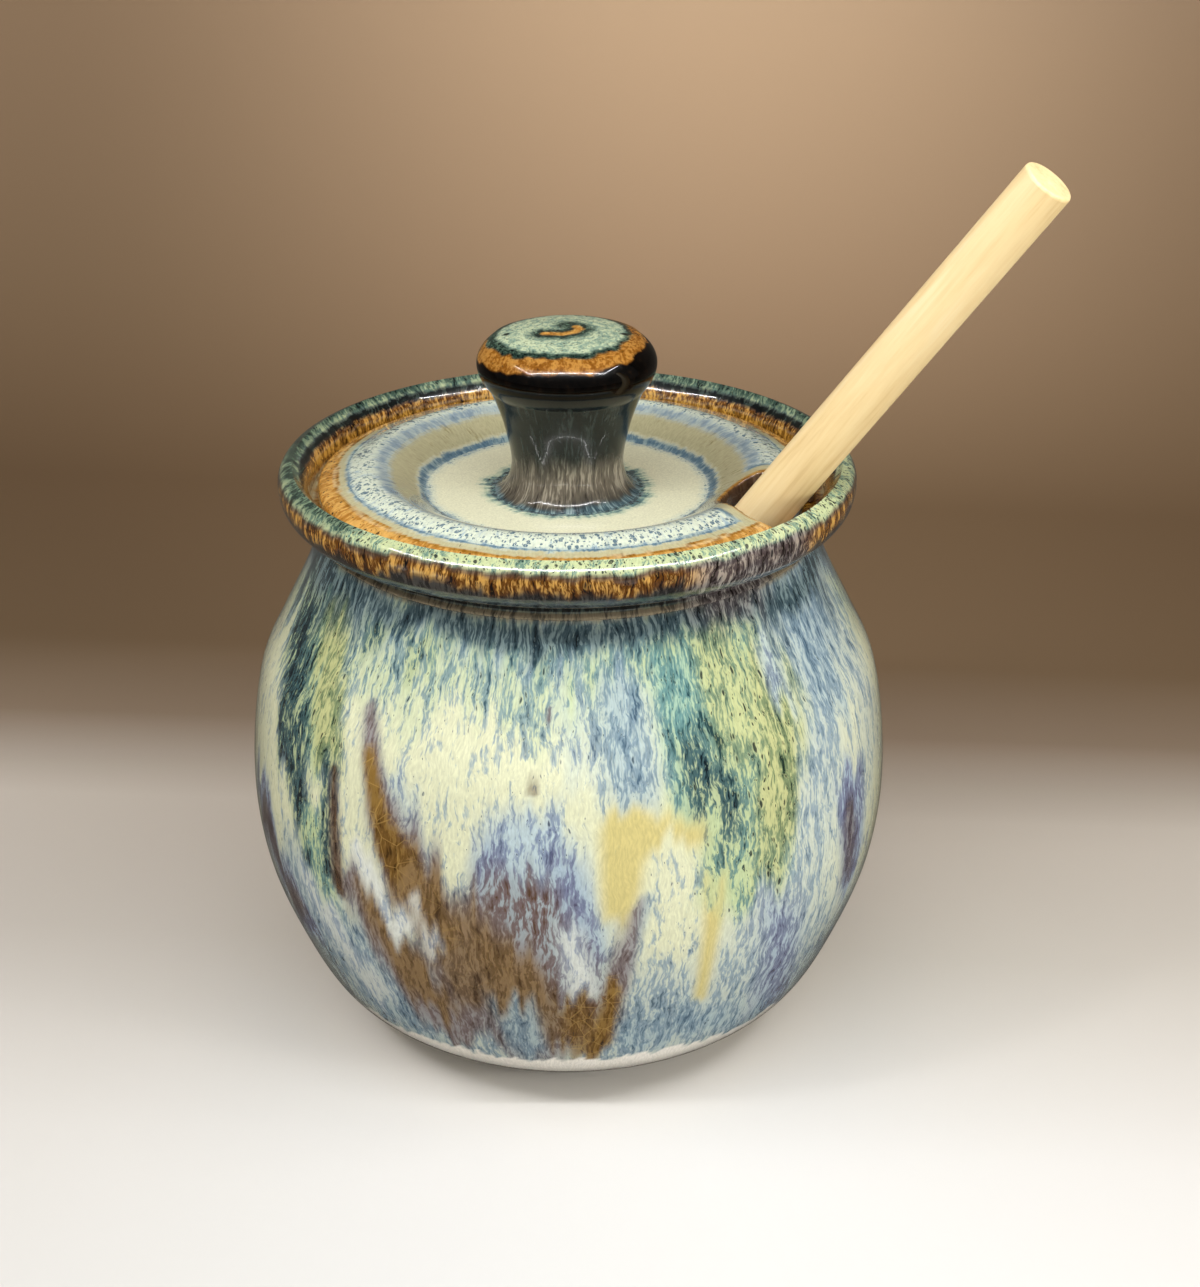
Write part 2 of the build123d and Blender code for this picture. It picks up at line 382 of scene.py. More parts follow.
@dataclass
class Coat:
    """The glaze on one turned piece, laid tone by tone on its vertices."""

    piece: bpy.types.Object
    outline: Outline
    base: Tone
    girth: float                     # radius at which the pattern is at its true width
    seed: int
    flat: float = 0.0                # distance up to which the piece is flat on top
    spots: np.ndarray = field(init=False)
    angle: np.ndarray = field(init=False)
    along: np.ndarray = field(init=False)
    colours: dict[str, np.ndarray] = field(init=False)
    recipe: np.ndarray = field(init=False)
    calm: list[Point] = field(default_factory=lambda: [(0.0, 1.0)])  # (distance, how short)

    def __post_init__(self) -> None:
        """Reads where the vertices are and lays the base tone."""
        mesh = self.piece.data
        places = np.empty(len(mesh.vertices) * 3)
        mesh.vertices.foreach_get("co", places)
        places = places.reshape(-1, 3) / MM
        radius = np.hypot(places[:, 0], places[:, 1])
        self.spots = places[:, :2]
        self.angle = np.degrees(np.arctan2(places[:, 1], places[:, 0]))
        self.along = self.outline.place_of(radius, places[:, 2])
        count = len(places)
        self.colours = {layer: np.ones((count, 4)) for layer in LAYERS}
        self.recipe = np.zeros((count, 4))
        self.lay(self.base, np.ones(count))

    def lay(self, tone: Tone, weight: np.ndarray) -> None:
        """Lays one tone over what is there.

        Args:
            tone: The tone.
            weight: Its share at each vertex, from 0 to 1.
        """
        share = weight[:, None]
        pool = tone.value
        for layer in LAYERS:
            colour = np.array(linear(getattr(pool, layer)))
            self.colours[layer] += (colour - self.colours[layer]) * share
        wanted = np.array([pool.cover, pool.dark, pool.craze, pool.dashes])
        self.recipe += (wanted - self.recipe) * share

    def sway(self, kind: Sway) -> np.ndarray:
        """Works out how far one kind of wandering moves the glaze.

        Args:
            kind: The wandering.

        Returns:
            A distance in millimetres for each vertex.
        """
        cells = max(3, round(math.tau * self.girth / kind.width))
        across = (self.angle / 360 % 1) * cells
        down = self.along / kind.length + SWAY_SHIFT
        return kind.reach * (lattice_noise(across, down, cells, self.seed + kind.seed) * 2 - 1)

    def band(self, tone: Tone, start: float, end: float, feather: float = 1.0,
             ragged: float = 0.4, tilt: Point = (0.0, 0.0)) -> None:
        """Lays a tone all round, between two distances along the outline.

        Args:
            tone: The tone.
            start: Where the band starts.
            end: Where it ends.
            feather: How softly it starts and ends.
            ragged: How far its edges wander.
            tilt: The degrees at which it dips, and how far.
        """
        place = self.along + ragged * self.sway(FINE_EDGE) + ragged * self.sway(BROAD_EDGE)
        place -= tilt[1] * np.cos(np.radians(self.angle - tilt[0]))
        inside = np.minimum(place - start, end - place)
        self.lay(tone, ramp(inside, -feather / 2, feather / 2))

    def run(self, run: Run) -> None:
        """Lays one run, with edges drawn out along the flow.

        Args:
            run: The run, with heights as distances along the outline.
        """
        middle = (run.start[0] + run.end[0]) / 2
        turn = (self.angle - middle + 180) % 360 - 180
        to_mm = math.radians(1) * self.girth
        x = turn * to_mm + self.sway(RUN_SIDES)
        y = self.along + run.ragged * (self.sway(RUN_HAIRS) + self.sway(RUN_FINE_HAIRS))
        start = np.array([(run.start[0] - middle) * to_mm, run.start[1]])
        end = np.array([(run.end[0] - middle) * to_mm, run.end[1]])
        path = end - start
        share = ((x - start[0]) * path[0] + (y - start[1]) * path[1]) / (path @ path)
        share = np.clip(share, 0, 1)
        gap = np.hypot(x - start[0] - share * path[0], y - start[1] - share * path[1])
        half = (run.width[0] * (1 - share) + run.width[1] * share) / 2
        weight = ramp(half - gap, -run.feather / 2, run.feather / 2)
        self.lay(run.tone, weight * run.share)

    def stroke(self, tone: Tone, points: list[Point], width: float, feather: float) -> None:
        """Lays a tone along a line drawn on a flat top.

        Args:
            tone: The tone.
            points: The line, as (x, y) in millimetres.
            width: Its width.
            feather: How softly its edges fade.
        """
        gap = np.full(len(self.angle), np.inf)
        for start, end in zip(points, points[1:]):
            path = np.subtract(end, start)
            share = np.clip((self.spots - start) @ path / (path @ path), 0, 1)
            gap = np.minimum(gap, np.hypot(*(self.spots - start - share[:, None] * path).T))
        weight = ramp(width / 2 - gap, -feather / 2, feather / 2)
        self.lay(tone, weight * (self.along < self.flat))

    def drawn_out(self) -> np.ndarray:
        """Stretches the distance along the outline where calm says that hairs are shorter.

        Returns:
            The stretched distance of each vertex, in millimetres.
        """
        ends, short = zip(*self.calm)
        samples = 4000
        along = np.linspace(0, self.outline.length, samples)
        steps = np.interp(along, ends, short) * (along[1] - along[0])
        return np.interp(self.along, along, np.cumsum(steps))

    def write(self) -> None:
        """Stores the glaze on the mesh for the shader to read."""
        mesh = self.piece.data
        turn = np.radians(self.angle)
        radius = np.where(self.along < self.flat, np.hypot(*self.spots.T), self.girth)
        flow = np.stack([np.cos(turn) * radius, np.sin(turn) * radius, self.drawn_out()], 1)
        mesh.attributes.new("flow", "FLOAT_VECTOR", "POINT").data.foreach_set(
            "vector", flow.ravel())
        for layer in LAYERS:
            mesh.attributes.new(layer, "FLOAT_COLOR", "POINT").data.foreach_set(
                "color", self.colours[layer].ravel())
        mesh.attributes.new("recipe", "FLOAT_COLOR", "POINT").data.foreach_set(
            "color", self.recipe.ravel())


# ---- materials ----------------------------------------------------------------------------
Link = bpy.types.Node | bpy.types.NodeSocket  # what a node's input can be joined to


class Graph:
    """The node tree of one material."""

    def __init__(self, name: str) -> None:
        """Makes an empty material.

        Args:
            name: The material's name.
        """
        self.material = bpy.data.materials.new(name)
        self.material.use_nodes = True
        self.tree = self.material.node_tree
        self.tree.nodes.clear()

    def add(self, kind: str, values: dict[Any, Any] | None = None, **settings: Any) -> Any:
        """Adds a node.

        Args:
            kind: The node's type, without the ShaderNode in front.
            values: What each input takes, by its name or number: a node, an output or a value.
            settings: Properties of the node; stops sets a colour ramp's (place, colour) pairs.

        Returns:
            The node.
        """
        node = self.tree.nodes.new("ShaderNode" + kind)
        stops = settings.pop("stops", None)
        for key, value in settings.items():
            setattr(node, key, value)
        for key, value in (values or {}).items():
            if isinstance(value, bpy.types.Node):
                value = value.outputs[0]
            if isinstance(value, bpy.types.NodeSocket):
                self.tree.links.new(value, node.inputs[key])
            else:
                node.inputs[key].default_value = value
        if stops:
            elements = node.color_ramp.elements
            while len(elements) < len(stops):
                elements.new(1.0)
            for element, (place, colour) in zip(elements, stops):
                element.position = place
                element.color = linear(colour)
        return node


@dataclass(frozen=True)
class RutileGlaze:
    """Glossy rutile glaze, dipped and fired: an opaque bloom that runs in fine streaks over a
    glassy ground, like hare's fur. It gives the eye soft vertical hairs, dark dashes with
    pale lips, and sharp reflections. Widths, lengths and sizes are in millimetres. A pair
    named ..._from gives where something begins to show and where it shows in full."""

    name: str
    hair_width: float = 0.45
    hair_length: float = 2.4
    hair_depth: float = 1.4          # how far the hairs thicken and thin the bloom
    lock_width: float = 1.3          # a lock is a bunch of hairs
    lock_length: float = 6.0
    lock_depth: float = 1.5
    cloud_width: float = 6.0         # a cloud is a bunch of locks
    cloud_length: float = 16.0
    cloud_depth: float = 0.7
    contrast: float = 1.0            # how far all three count
    halo_from: Point = (0.06, 0.42)  # thickness of the bloom at its halo
    bloom_from: Point = (0.44, 0.74)
    wander: float = 3.0              # how far the flow strays
    wander_size: float = 6.0
    dash_width: float = 0.95
    dash_length: float = 2.8
    dash_sizes: Point = (1.0, 0.45)  # the large dashes and the small ones
    dash_reach: float = 0.48         # radius of the largest dash, as a share of its cell
    dash_from: Point = (-0.04, 0.10)  # how far inside the dash's edge
    dash_cover: float = 0.9
    dash_colour: str = "#0b1620"
    lip_from: Point = (-0.20, -0.04)
    lip_cover: float = 0.4
    fibre_width: float = 0.3
    fibre_length: float = 1.5
    fibre_from: Point = (0.3, 0.7)
    fibre_tint: Point = (0.86, 1.08)  # how far fibres darken and lighten
    craze_size: float = 3.2
    craze_line: float = 0.035        # a crack's half width, as a share of its cell
    craze_cover: float = 0.4
    craze_colour: str = "#d0aa5c"
    ripple: float = 0.3              # how strongly the thick bloom stands up
    ripple_depth: float = 0.05
    roughness: float = 0.2
    sheen: float = 0.2               # how strongly the rippled body itself shines
    coat: float = 1.0                # how strong the clear, even glass over it is
    coat_roughness: float = 0.03

    def dress(self, piece: bpy.types.Object) -> None:
        """Gives a piece this glaze.

        Args:
            piece: A mesh whose glaze is written on it.
        """
        g = Graph(self.name)
        place = g.add("Attribute", attribute_name="flow").outputs["Vector"]
        recipe = g.add("Attribute", attribute_name="recipe")
        cover, dark, craze = g.add("SeparateColor", {0: recipe.outputs["Color"]}).outputs
        layers = {layer: g.add("Attribute", attribute_name=layer).outputs["Color"]
                  for layer in LAYERS}

        # The flow wanders, so that no hair is straight.
        near = g.add("VectorMath", {0: place, "Scale": 1 / self.wander_size},
                     operation="SCALE")
        wander = g.add("TexNoise", {"Vector": near, "Scale": 1.0, "Detail": 3.0})
        flow = g.add("VectorMath", {0: wander.outputs["Color"], 1: (self.wander,) * 3,
                                    2: place}, operation="MULTIPLY_ADD")

        # The halo lies where the bloom is thin, and the ground shows where it is thinnest.
        thick = self.thickness(g, flow, cover)
        thin = g.add("MapRange", {0: thick, 1: self.halo_from[0], 2: self.halo_from[1]},
                     interpolation_type="SMOOTHSTEP")
        full = g.add("MapRange", {0: thick, 1: self.bloom_from[0], 2: self.bloom_from[1]},
                     interpolation_type="SMOOTHSTEP")
        veil = g.add("Mix", {0: thin, 6: layers["ground"], 7: layers["halo"]},
                     data_type="RGBA")
        body = g.add("Mix", {0: full, 6: veil.outputs[2], 7: layers["bloom"]},
                     data_type="RGBA")
        shade = g.add("Mix", {0: dark, 6: layers["ground"], 7: linear(self.dash_colour)},
                      data_type="RGBA")
        dashed = self.dashed(g, flow, body.outputs[2], shade.outputs[2], layers["bloom"],
                             recipe.outputs["Alpha"])
        colour = self.crazed(g, place, self.fibred(g, flow, dashed), craze)

        # The surface ripples faintly where the bloom lies thick.
        bump = g.add("Bump", {"Strength": self.ripple, "Distance": self.ripple_depth * MM,
                              "Height": full})
        shader = g.add("BsdfPrincipled", {
            "Base Color": colour, "Roughness": self.roughness, "Normal": bump,
            "Specular IOR Level": self.sheen, "Coat Weight": self.coat,
            "Coat Roughness": self.coat_roughness,
        })
        g.add("OutputMaterial", {"Surface": shader})
        piece.data.materials.clear()
        piece.data.materials.append(g.material)

    def thickness(self, g: Graph, flow: Link, cover: Link) -> Link:
        """Makes the bloom thicker and thinner by hairs, locks and clouds.

        Args:
            g: The material's nodes.
            flow: Place in the flow.
            cover: How thick the recipe wants it.

        Returns:
            The bloom's thickness, about 0 to 1.
        """
        thick = cover
        for width, length, depth in (
                (self.hair_width, self.hair_length, self.hair_depth),
                (self.lock_width, self.lock_length, self.lock_depth),
                (self.cloud_width, self.cloud_length, self.cloud_depth)):
            drawn = g.add("VectorMath", {0: flow, 1: (1 / width, 1 / width, 1 / length)},
                          operation="MULTIPLY")
            noise = g.add("TexNoise", {"Vector": drawn, "Scale": 1.0, "Detail": 2.0,
                                       "Roughness": 0.6})
            level = g.add("Math", {0: noise, 1: 0.5}, operation="SUBTRACT")
            thick = g.add("Math", {0: level, 1: depth * self.contrast, 2: thick},
                          operation="MULTIPLY_ADD")
        return thick

    def dashed(self, g: Graph, flow: Link, body: Link, shade: Link, lips: Link,
               wanted: Link) -> Link:
        """Lets dashes break through to the ground, large and small, with a pale lip round each.

        Args:
            g: The material's nodes.
            flow: Place in the flow.
            body: Colour of the glaze so far.
            shade: Colour in the dashes.
            lips: Colour of their lips.
            wanted: How many dashes break through.

        Returns:
            The colour with its dashes.
        """
        for size in self.dash_sizes:
            width, length = self.dash_width * size, self.dash_length * size
            grid = g.add("VectorMath", {0: flow, 1: (1 / width, 1 / width, 1 / length)},
                         operation="MULTIPLY")
            cells = g.add("TexVoronoi", {"Vector": grid, "Scale": 1.0})
            lot = g.add("SeparateColor", {0: cells.outputs["Color"]})
            chance = g.add("Math", {0: lot, 1: wanted}, operation="ADD")
            reach = g.add("Math", {0: chance, 1: self.dash_reach, 2: -self.dash_reach},
                          operation="MULTIPLY_ADD")
            inward = g.add("Math", {0: reach, 1: cells.outputs["Distance"]},
                           operation="SUBTRACT")
            lip = g.add("MapRange", {0: inward, 1: self.lip_from[0], 2: self.lip_from[1],
                                     4: self.lip_cover}, interpolation_type="SMOOTHSTEP")
            dash = g.add("MapRange", {0: inward, 1: self.dash_from[0], 2: self.dash_from[1],
                                      4: self.dash_cover}, interpolation_type="SMOOTHSTEP")
            lipped = g.add("Mix", {0: lip, 6: body, 7: lips}, data_type="RGBA")
            body = g.add("Mix", {0: dash, 6: lipped.outputs[2], 7: shade},
                         data_type="RGBA").outputs[2]
        return body

    def fibred(self, g: Graph, flow: Link, body: Link) -> Link:
        """Lightens and darkens the whole by fine fibres.

        Args:
            g: The material's nodes.
            flow: Place in the flow.
            body: Colour of the glaze so far.

        Returns:
            The colour with its fibres.
        """
        across, along = 1 / self.fibre_width, 1 / self.fibre_length
        strands = g.add("VectorMath", {0: flow, 1: (across, across, along)},
                        operation="MULTIPLY")
        fibre = g.add("TexNoise", {"Vector": strands, "Scale": 1.0, "Detail": 2.0})
        tint = g.add("MapRange", {0: fibre, 1: self.fibre_from[0], 2: self.fibre_from[1],
                                  3: self.fibre_tint[0], 4: self.fibre_tint[1]})
        return g.add("Mix", {0: 1.0, 6: body, 7: tint}, data_type="RGBA",
                     blend_type="MULTIPLY").outputs[2]

    def crazed(self, g: Graph, place: Link, body: Link, wanted: Link) -> Link:
        """Draws a net of fine golden cracks in the glassy pools.

        Args:
            g: The material's nodes.
            place: Place on the piece, which the net keeps to.
            body: Colour of the glaze so far.
            wanted: How strong the net is.

        Returns:
            The colour with its cracks.
        """
        net = g.add("VectorMath", {0: place, "Scale": 1 / self.craze_size},
                    operation="SCALE")
        cracks = g.add("TexVoronoi", {"Vector": net, "Scale": 1.0},
                       feature="DISTANCE_TO_EDGE")
        line = g.add("MapRange", {0: cracks, 1: self.craze_line, 2: 0.0})
        strength = g.add("Math", {0: line, 1: wanted}, operation="MULTIPLY")
        faint = g.add("Math", {0: strength, 1: self.craze_cover}, operation="MULTIPLY")
        return g.add("Mix", {0: faint, 6: body, 7: linear(self.craze_colour)},
                     data_type="RGBA").outputs[2]


@dataclass(frozen=True)
class Birch:
    """Sanded birch, bare and dry: pale, close grained, with faint long pores."""

    name: str
    lean: float                      # degrees from upright, in the XZ plane
    grain_width: float = 0.35        # millimetres
    grain_length: float = 5.0
    figure_width: float = 5.0        # the wider bands of the figure, in grain widths
    figure_length: float = 4.0       # and in grain lengths
    relief: float = 0.25
    relief_depth: float = 0.05       # millimetres
    roughness: float = 0.62

    def dress(self, piece: bpy.types.Object) -> None:
        """Gives a piece this wood, with its grain along the lean.

        Args:
            piece: The piece.
        """
        g = Graph(self.name)
        place = g.add("TexCoord").outputs["Object"]
        along = g.add("Mapping", {"Vector": place,
                                  "Rotation": (0, -math.radians(self.lean), 0)})
        fine = 1 / (self.grain_width * MM)
        long = 1 / (self.grain_length * MM)
        stretched = g.add("VectorMath", {0: along, 1: (fine, fine, long)},
                          operation="MULTIPLY")
        grain = g.add("TexNoise", {"Vector": stretched, "Scale": 0.5, "Detail": 3.0})
        wide, slow = fine / self.figure_width, long / self.figure_length
        bands = g.add("VectorMath", {0: along, 1: (wide, wide, slow)},
                      operation="MULTIPLY")
        figure = g.add("TexNoise", {"Vector": bands, "Scale": 0.5, "Detail": 1.0})
        both = g.add("Math", {0: grain, 1: figure}, operation="ADD")
        half = g.add("Math", {0: both, 1: 0.5}, operation="MULTIPLY")
        colour = g.add("ValToRGB", {0: half}, stops=[
            (0.30, "#dcba7e"), (0.45, "#edd096"), (0.60, "#f3d9a2"), (0.75, "#f6e2b6")])
        bump = g.add("Bump", {"Strength": self.relief, "Distance": self.relief_depth * MM,
                              "Height": grain})
        shader = g.add("BsdfPrincipled", {
            "Base Color": colour.outputs[0], "Roughness": self.roughness, "IOR": 1.45,
            "Normal": bump,
        })
        g.add("OutputMaterial", {"Surface": shader})
        piece.data.materials.clear()
        piece.data.materials.append(g.material)


# ---- the pot ------------------------------------------------------------------------------
@dataclass
class Pot:
    """The bellied pot, in one thrown piece with its foot ring and rolled rim. The gallery is
    the recess in the rim, the ledge its floor and the throat the pot's mouth under it."""

    height: float = 96.6
    foot_r: float = 31.0
    foot_ring_width: float = 5.5
    foot_recess: float = 2.5
    floor_z: float = 8.0
    wall: float = 4.0
    belly_r: float = 52.4
    belly_z: float = 44.0
    neck_r: float = 39.6
    neck_z: float = 85.2
    bead_height: float = 1.3
    bead_rise: float = 0.6
    rim_r: float = 46.0
    crest_r: float = 43.7
    gallery_r: float = 41.0
    groove_z: float = 88.0
    ledge_z: float = LEDGE_Z
    throat_r: float = 37.6
    throat_round: float = 1.0
    arris: float = 0.3               # how far the small corners are rubbed off
    front: float = -67.0             # degrees, the way the pot faces
    sides: int = 352
    seed: int = 3
    far_seed: int = 11
    far_side: tuple[int, int, int] = (92, 268, 8)  # degrees from the front: from, to, step
    top_of_runs: float = 80.0

    def side(self) -> list[Point]:
        """Works out the outside's curve.

        Returns:
            Its points, from the foot up to the neck.
        """
        # Shares of the way out from the foot or the neck, and of the way up.
        lower = [(0.293, 0.105), (0.512, 0.207), (0.752, 0.436), (0.937, 0.700)]
        upper = [(0.829, 0.438), (0.543, 0.633), (0.233, 0.827)]
        out = self.belly_r - self.foot_r
        points = [(self.foot_r + out * share, self.belly_z * up) for share, up in lower]
        points.append((self.belly_r, self.belly_z))
        out = self.belly_r - self.neck_r
        rise = self.neck_z - self.belly_z
        points += [(self.neck_r + out * share, self.belly_z + rise * up)
                   for share, up in upper]
        return points + [(self.neck_r, self.neck_z)]

    def outline(self) -> Outline:
        """Draws the half section.

        Returns:
            The line from the underside's middle round to the floor's middle.
        """
        ease = self.foot_recess / 2
        inner = self.foot_r - self.foot_ring_width
        pen = Outline((0.0, self.foot_recess))
        pen.line((inner - ease, self.foot_recess), spacing=4.0)
        pen.line((inner, self.arris / 2), spacing=0.8)
        pen.line((inner + self.arris, 0.0), spacing=0.4)
        pen.line((self.foot_r - ease, 0.0), spacing=1.0)
        pen.curve([(self.foot_r - 0.35, 0.35), (self.foot_r, ease)], spacing=0.4)
        pen.mark("foot")
        pen.curve(self.side(), spacing=0.75)
        pen.mark("neck")
        pen.curve([(self.neck_r + self.bead_rise, self.neck_z + self.bead_height / 2),
                   (self.neck_r, self.neck_z + self.bead_height)], spacing=0.2)
        pen.mark("bead")
        pen.line((self.neck_r, self.groove_z - self.arris), spacing=0.4)
        roll = self.rim_r - self.crest_r
        pen.curve([(self.neck_r + 0.5, self.groove_z),
                   (self.gallery_r + roll, self.groove_z + 0.9),
                   (self.rim_r - 0.5, self.ledge_z + 0.6),
                   (self.rim_r, self.height - roll),
                   (self.rim_r - roll / 3, self.height - roll / 3),
                   (self.crest_r, self.height)], spacing=0.4)
        pen.mark("crest")
        pen.curve([(self.gallery_r + roll / 4, self.height - roll),
                   (self.gallery_r, self.ledge_z + 2.0)], spacing=0.4)
        pen.line((self.gallery_r, self.ledge_z + self.arris), spacing=0.5)
        pen.line((self.gallery_r - self.arris, self.ledge_z), spacing=0.3)
        pen.mark("ledge")
        pen.line((self.throat_r + self.throat_round, self.ledge_z), spacing=0.6)
        pen.curve([(self.throat_r + self.arris, self.ledge_z - self.arris),
                   (self.throat_r, self.ledge_z - self.throat_round)], spacing=0.4)
        pen.mark("throat")
        pen.curve(list(reversed(self.inside())), spacing=2.5)
        pen.line((0.0, self.floor_z), spacing=4.0)
        return pen

    def inside(self) -> list[Point]:
        """Moves the outside's curve in by the wall.

        Returns:
            Points of the inside, from the floor's edge up to the neck.
        """
        side = [(self.foot_r, self.foot_recess / 2), *self.side()]
        moved = [(self.foot_r, self.floor_z)]
        for before, here, after in zip(side[1:], side[2:], side[3:]):
            run, rise = after[0] - before[0], after[1] - before[1]
            length = math.hypot(run, rise)
            moved.append((here[0] - self.wall * rise / length,
                          here[1] + self.wall * run / length))
        return moved + [(self.neck_r - self.wall, self.neck_z - self.wall / 2)]

    def build(self) -> bpy.types.Object:
        """Models and glazes the pot.

        Returns:
            The pot.
        """
        outline = self.outline()
        piece = turned("pot_body", outline, self.sides)
        coat = Coat(piece, outline, Tone.CREAM, self.belly_r, self.seed)
        self.glaze(coat, outline)
        coat.write()
        RutileGlaze("rutile_hare_fur_glaze").dress(piece)
        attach(piece, "pot")
        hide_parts("pot")
        return piece

    def glaze(self, coat: Coat, outline: Outline) -> None:
        """Lays the pot's tones: the body's runs first, then the rings of neck and rim.

        Args:
            coat: The pot's glaze.
            outline: Its half section.
        """
        foot, neck = outline.marks["foot"], outline.marks["neck"]
        crest, bead = outline.marks["crest"], outline.marks["bead"]
        ledge, throat = outline.marks["ledge"], outline.marks["throat"]

        def down(height: float) -> float:
            """Distance along the outline of a height on the outside."""
            return outline.at(height, 1, foot, neck)

        coat.band(Tone.FRINGE, down(70.0), neck, feather=12.0, ragged=2.5)
        coat.band(Tone.BLUE, down(79.0), neck, feather=7.0, ragged=2.5)
        coat.band(Tone.MIST, foot, down(33.0), feather=18.0, ragged=2.5)
        for run in (*FRONT_RUNS, *self.far_runs()):
            start = (self.front + run.start[0], down(run.start[1]))
            end = (self.front + run.end[0], down(run.end[1]))
            coat.run(replace(run, start=start, end=end))
        coat.band(Tone.SHOULDER, down(81.0), neck + 0.2, feather=3.2, ragged=1.6)
        coat.band(Tone.CLAY, 0.0, down(10.6), feather=0.4, ragged=0.9)
        coat.band(Tone.BEAD, neck, bead, feather=0.3, ragged=0.1)
        coat.band(Tone.NIGHT, bead, bead + 2.6, feather=0.5, ragged=0.1)
        coat.band(Tone.SLATE, bead + 2.4, crest - 4.6, feather=0.8, ragged=0.4)
        coat.band(Tone.AMBER, crest - 5.4, crest - 2.2, feather=1.8, ragged=1.0)
        coat.band(Tone.UMBER, crest - 3.2, crest - 2.0, feather=0.7, ragged=0.5)
        streaked = self.front + 38
        coat.run(Run(Tone.STREAKED, (streaked, crest - 3.6), (streaked, crest - 8.0),
                     width=(26, 26), feather=8, share=0.9, ragged=0.4))
        coat.band(Tone.CELADON, crest - 2.4, crest + 1.4, feather=0.9, ragged=0.4)
        left, right = self.front - 48, self.front - 258
        coat.run(Run(Tone.FOREST, (left, crest - 0.4), (right, crest - 0.4),
                     width=(3.2, 3.8), feather=3.0, share=0.9, ragged=0.15))
        coat.band(Tone.NIGHT, crest + 1.4, crest + 3.0, feather=0.7, ragged=0.2)
        coat.band(Tone.AMBER, crest + 2.8, crest + 3.9, feather=0.6, ragged=0.3)
        coat.band(Tone.GOLD, crest + 3.8, ledge - 0.8, feather=0.8, ragged=0.3)
        coat.band(Tone.KHAKI, ledge - 0.8, ledge, feather=0.5, ragged=0.1)
        coat.band(Tone.HONEY, ledge, throat, feather=1.0, ragged=0.4)
        coat.band(Tone.MILK, throat, outline.length + 5, feather=1.5, ragged=0.4)
        coat.calm = [(crest - 2.8, 1.0), (crest - 1.8, 2.0), (throat, 2.0), (throat + 5, 1.0)]

    def far_runs(self) -> list[Run]:
        """Draws the far side's runs by lot from the tones of the near one.

        Returns:
            The runs, placed as FRONT_RUNS are.
        """
        lot = random.Random(self.far_seed)
        # A tone, the width of its runs and the height at which they end.
        kinds = [(Tone.SAGE, 8, 60), (Tone.MOSS, 7, 58), (Tone.LILAC, 10, 50),
                 (Tone.YELLOW, 7, 44), (Tone.MIST, 10, 40), (Tone.VIOLET, 11, 32),
                 (Tone.OLIVE, 7, 28), (Tone.INK, 4, 56), (Tone.PLUM, 8, 24)]
        runs = []
        for turn in range(*self.far_side):
            tone, width, foot = lot.choice(kinds)
            foot += lot.uniform(-8, 8)
            top = min(self.top_of_runs, foot + lot.uniform(12, 26))
            turn += lot.uniform(-4, 4)
            runs.append(Run(tone, (turn, top), (turn + lot.uniform(-6, 6), foot),
                            (width * lot.uniform(0.6, 1.2), width * lot.uniform(0.6, 1.4)),
                            lot.uniform(2.5, 6.0)))
        return runs


